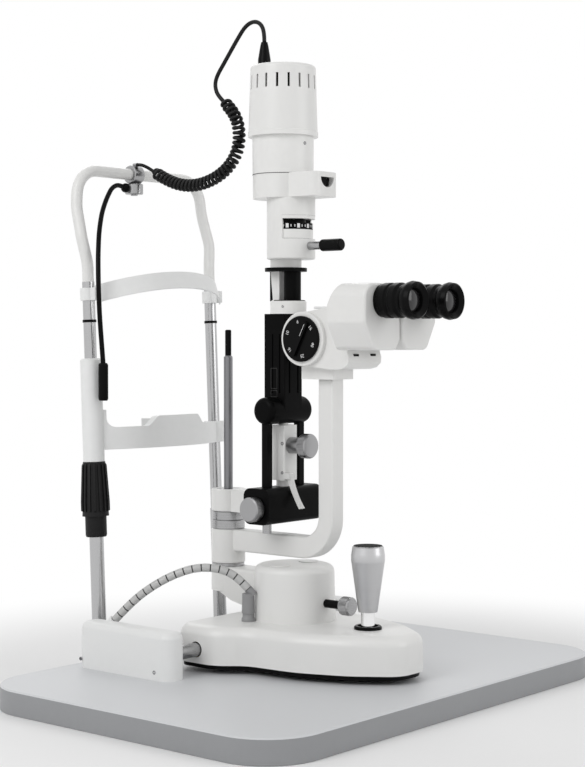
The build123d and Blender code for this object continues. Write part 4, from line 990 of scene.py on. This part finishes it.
FLUTE_DEPTH = 0.35
KNURLS = [
    ("left_width_flutes", (-47, 33, 172), "-X", 13.4, 9.2, 56, "knurled_aluminium", "slit_width_knobs"),
    ("right_width_flutes", (47, 33, 172), "X", 13.4, 9.2, 56, "knurled_aluminium", "slit_width_knobs"),
    ("centring_flutes", (0, 3.2, 239), "-Y", 13.4, 8.6, 56, "knurled_aluminium", "centring_knob"),
    ("lock_flutes", (0, -51.6, 71), "-Y", 10.1, 9.6, 44, "knurled_aluminium", "lock_knob"),
]


class SLITLAMP_OT_knurls(bpy.types.Operator):
    """Fluted bands round the knobs that are turned by hand."""

    bl_idname = "slitlamp.knurls"
    bl_label = "Knurls"

    def execute(self, context):
        for name, place, axis, radius, length, ridges, slot, body in KNURLS:
            band = fluted(radius, FLUTE_DEPTH, length, ridges)
            settle(put(band, spot(*place), axis), name, slot, body, smooth_angle=20.0)
        return {"FINISHED"}


EYE_X = 32
EYE_LENS_Y = -164.3
EYE_HEIGHT = 394


class SLITLAMP_OT_lenses(bpy.types.Operator):
    """Domed eye lenses in the eyecups, near black as painted shade of the eyepieces' inside."""

    bl_idname = "slitlamp.lenses"
    bl_label = "Lenses"

    def execute(self, context):
        for side, name in ((-1, "left"), (1, "right")):
            lens = turned([(0, 11), (0.8, 11), (1.6, 9), (2.2, 6), (2.5, 3), (2.6, 0.8)])
            place = spot(side * EYE_X, EYE_LENS_Y, EYE_HEIGHT)
            settle(put(lens, place, "-Y"), f"{name}_eye_lens", "eye_lens", f"{name}_eyepiece")
        return {"FINISHED"}


BLOCK_FACE_X = 15.05
RIM_HIGHLIGHT_WIDTH = 0.35


class SLITLAMP_OT_outlines(bpy.types.Operator):
    """Faint lines round the tower block's slots as painted highlight on their rims, a near-black sleeve as
    painted shade inside the lamp, the lamp's seam, and the body's plate and vents, the vents as painted
    shade.
    """

    bl_idname = "slitlamp.outlines"
    bl_label = "Outlines"

    def execute(self, context):
        for side, name in ((-1, "left_slot_rim_highlight"), (1, "right_slot_rim_highlight")):
            edges = []
            for low, high in ((301, 323), (292, 299)):
                middle = (low + high) / 2
                for y in (29, 37.6):
                    upright = (0.2, RIM_HIGHLIGHT_WIDTH, high - low)
                    edges.append(block(upright, spot(side * BLOCK_FACE_X, y, middle), 0.05))
                for height in (low, high):
                    bar = (0.2, 8.6, RIM_HIGHLIGHT_WIDTH)
                    edges.append(block(bar, spot(side * BLOCK_FACE_X, 33.3, height), 0.05))
            settle(joined(edges), name, "outline", "tower")
        axis = Vector((0, TOWER_Y, 0))
        # A near-black sleeve inside the lamp: painted shade of the lamp's inside.
        inner_shade = level_ring([(601, 29.5), (601, 30.6), (647, 30.6), (647, 29.5)])
        settle(put(inner_shade, axis), "lamp_inner_shade", "recess", "tower")
        seam = level_ring([(532.8, 32.9), (532.8, 33.42), (533.35, 33.42), (533.35, 32.9)])
        settle(put(seam, axis), "lamp_seam", "recess", "tower")
        plate = block((44, 34, 2.6), spot(0, -45, 387.9), 0.7)
        settle(plate, "body_top_plate", "white_plastic", "microscope")
        # The body's vents are near-black blocks, painted shade of their openings.
        for x, name in ((-14.5, "left_body_vent"), (14.5, "right_body_vent")):
            settle(block((9, 1.2, 2.6), spot(x, -79.2, 338.0), 0.5), name, "recess", "microscope")
        return {"FINISHED"}


# Stage


CAMERA_PLACE = (-1.40016, -1.15645, 0.38441)
CAMERA_YAW = math.radians(40.03)
CAMERA_PITCH = math.radians(-1.662)
LAMP_AIM = (0, 0, 0.35)
SURROUND_LIGHT = 0.52
FLOOR_GAP = 0.0005


class SLITLAMP_OT_camera(bpy.types.Operator):
    """Camera at the photograph's place."""

    bl_idname = "slitlamp.camera"
    bl_label = "Camera"

    def execute(self, context):
        data = bpy.data.cameras.new("camera")
        data.lens = context.scene.slit_lamp_sizes.lens
        data.sensor_width = 36.0
        data.sensor_fit = "AUTO"
        data.clip_end = 200.0
        camera = bpy.data.objects.new("camera", data)
        bpy.context.scene.collection.objects.link(camera)
        level_share = math.cos(CAMERA_PITCH)
        ahead = math.cos(CAMERA_YAW) * level_share
        left = math.sin(CAMERA_YAW) * level_share
        aim = Vector((ahead, left, math.sin(CAMERA_PITCH)))
        camera.location = CAMERA_PLACE
        camera.rotation_euler = aim.to_track_quat("-Z", "Y").to_euler()
        context.scene.camera = camera
        return {"FINISHED"}


class SLITLAMP_OT_stage(bpy.types.Operator):
    """Pale floor, white surround and soft studio light."""

    bl_idname = "slitlamp.stage"
    bl_label = "Stage"

    def execute(self, context):
        context.scene.view_settings.view_transform = "Standard"
        clear_selection()
        half = context.scene.slit_lamp_sizes.floor_size
        bpy.ops.mesh.primitive_plane_add(size=2 * half, location=(0, 0, -FLOOR_GAP))
        floor = bpy.context.object
        floor.name = "floor"
        floor.data.materials.append(self.floor_material())
        self.surround(context)
        self.lamp("key_light", (-2.4, 0.1, 2.0), size=1.7, power=32.0)
        self.lamp("fill_light", (0.9, -2.4, 1.2), size=1.6, power=16.0)
        self.lamp("back_light", (1.2, 1.9, 2.2), size=1.6, power=12.0)
        return {"FINISHED"}

    def floor_material(self):
        """Pale floor that keeps the shadow near the object and turns white away from it."""
        material, nodes, links, shader = new_material("floor")
        shader.inputs["Base Color"].default_value = (0.9, 0.9, 0.9, 1)
        shader.inputs["Roughness"].default_value = 0.9
        shader.inputs["Specular IOR Level"].default_value = 0.0
        place = nodes.new("ShaderNodeTexCoord")
        far = nodes.new("ShaderNodeVectorMath")
        far.operation = "LENGTH"
        links.new(place.outputs["Object"], far.inputs[0])
        fade = nodes.new("ShaderNodeMapRange")
        fade.interpolation_type = "SMOOTHSTEP"
        fade.inputs["From Min"].default_value = 0.36
        fade.inputs["From Max"].default_value = 0.75
        links.new(far.outputs["Value"], fade.inputs["Value"])
        path = nodes.new("ShaderNodeLightPath")
        rays = path.outputs
        seen = math_node(nodes, links, "MAXIMUM", rays["Is Camera Ray"], rays["Is Glossy Ray"])
        seen = math_node(nodes, links, "MAXIMUM", seen, rays["Is Transmission Ray"])
        share = math_node(nodes, links, "MULTIPLY", fade.outputs[0], seen)
        white = nodes.new("ShaderNodeEmission")
        white.inputs["Strength"].default_value = 1.0
        mix = nodes.new("ShaderNodeMixShader")
        links.new(share, mix.inputs["Fac"])
        links.new(shader.outputs[0], mix.inputs[1])
        links.new(white.outputs[0], mix.inputs[2])
        links.new(mix.outputs[0], nodes["Material Output"].inputs["Surface"])
        return material

    def surround(self, context):
        """White to the camera, softer as a light."""
        world = bpy.data.worlds.new("surround")
        context.scene.world = world
        world.use_nodes = True
        nodes = world.node_tree.nodes
        links = world.node_tree.links
        soft = nodes["Background"]
        soft.inputs["Color"].default_value = (1, 1, 1, 1)
        soft.inputs["Strength"].default_value = SURROUND_LIGHT
        white = nodes.new("ShaderNodeBackground")
        white.inputs["Color"].default_value = (1, 1, 1, 1)
        white.inputs["Strength"].default_value = 1.0
        path = nodes.new("ShaderNodeLightPath")
        rays = path.outputs
        seen = math_node(nodes, links, "MAXIMUM", rays["Is Camera Ray"], rays["Is Glossy Ray"])
        seen = math_node(nodes, links, "MAXIMUM", seen, rays["Is Transmission Ray"])
        mix = nodes.new("ShaderNodeMixShader")
        links.new(seen, mix.inputs["Fac"])
        links.new(soft.outputs[0], mix.inputs[1])
        links.new(white.outputs[0], mix.inputs[2])
        links.new(mix.outputs[0], nodes["World Output"].inputs["Surface"])

    def lamp(self, name, place, size, power):
        """One soft square lamp that looks at the object's middle."""
        data = bpy.data.lights.new(name, "AREA")
        data.size = size
        data.energy = power
        lamp = bpy.data.objects.new(name, data)
        bpy.context.scene.collection.objects.link(lamp)
        lamp.location = place
        lamp.rotation_euler = (Vector(LAMP_AIM) - Vector(place)).to_track_quat("-Z", "Y").to_euler()


class SLITLAMP_PT_panel(bpy.types.Panel):
    """Lists the slit lamp's operators."""

    bl_label = "Slit lamp"
    bl_idname = "SLITLAMP_PT_panel"
    bl_space_type = "VIEW_3D"
    bl_region_type = "UI"
    bl_category = "Slit lamp"

    def draw(self, context):
        for operator in OPERATORS:
            self.layout.operator(operator.bl_idname)


OPERATORS = (
    SLITLAMP_OT_camera,
    SLITLAMP_OT_finishes,
    SLITLAMP_OT_conduit,
    SLITLAMP_OT_lead,
    SLITLAMP_OT_screws,
    SLITLAMP_OT_dial,
    SLITLAMP_OT_slit_scale,
    SLITLAMP_OT_knurls,
    SLITLAMP_OT_lenses,
    SLITLAMP_OT_outlines,
    SLITLAMP_OT_stage,
)
CLASSES = (SlitLampSizes, SlitLampColours, SLITLAMP_PT_panel) + OPERATORS


def register():
    """Registers the classes and the scene's properties."""
    for item in CLASSES:
        bpy.utils.register_class(item)
    bpy.types.Scene.slit_lamp_sizes = PointerProperty(type=SlitLampSizes)
    bpy.types.Scene.slit_lamp_colours = PointerProperty(type=SlitLampColours)


def unregister():
    """Takes the classes and properties away again."""
    del bpy.types.Scene.slit_lamp_sizes
    del bpy.types.Scene.slit_lamp_colours
    for item in reversed(CLASSES):
        bpy.utils.unregister_class(item)


def main():
    """Runs every operator in order."""
    register()
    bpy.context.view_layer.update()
    for operator in OPERATORS:
        family, name = operator.bl_idname.split(".")
        getattr(getattr(bpy.ops, family), name)()
    bpy.context.view_layer.update()


if __name__ == "__main__":
    main()
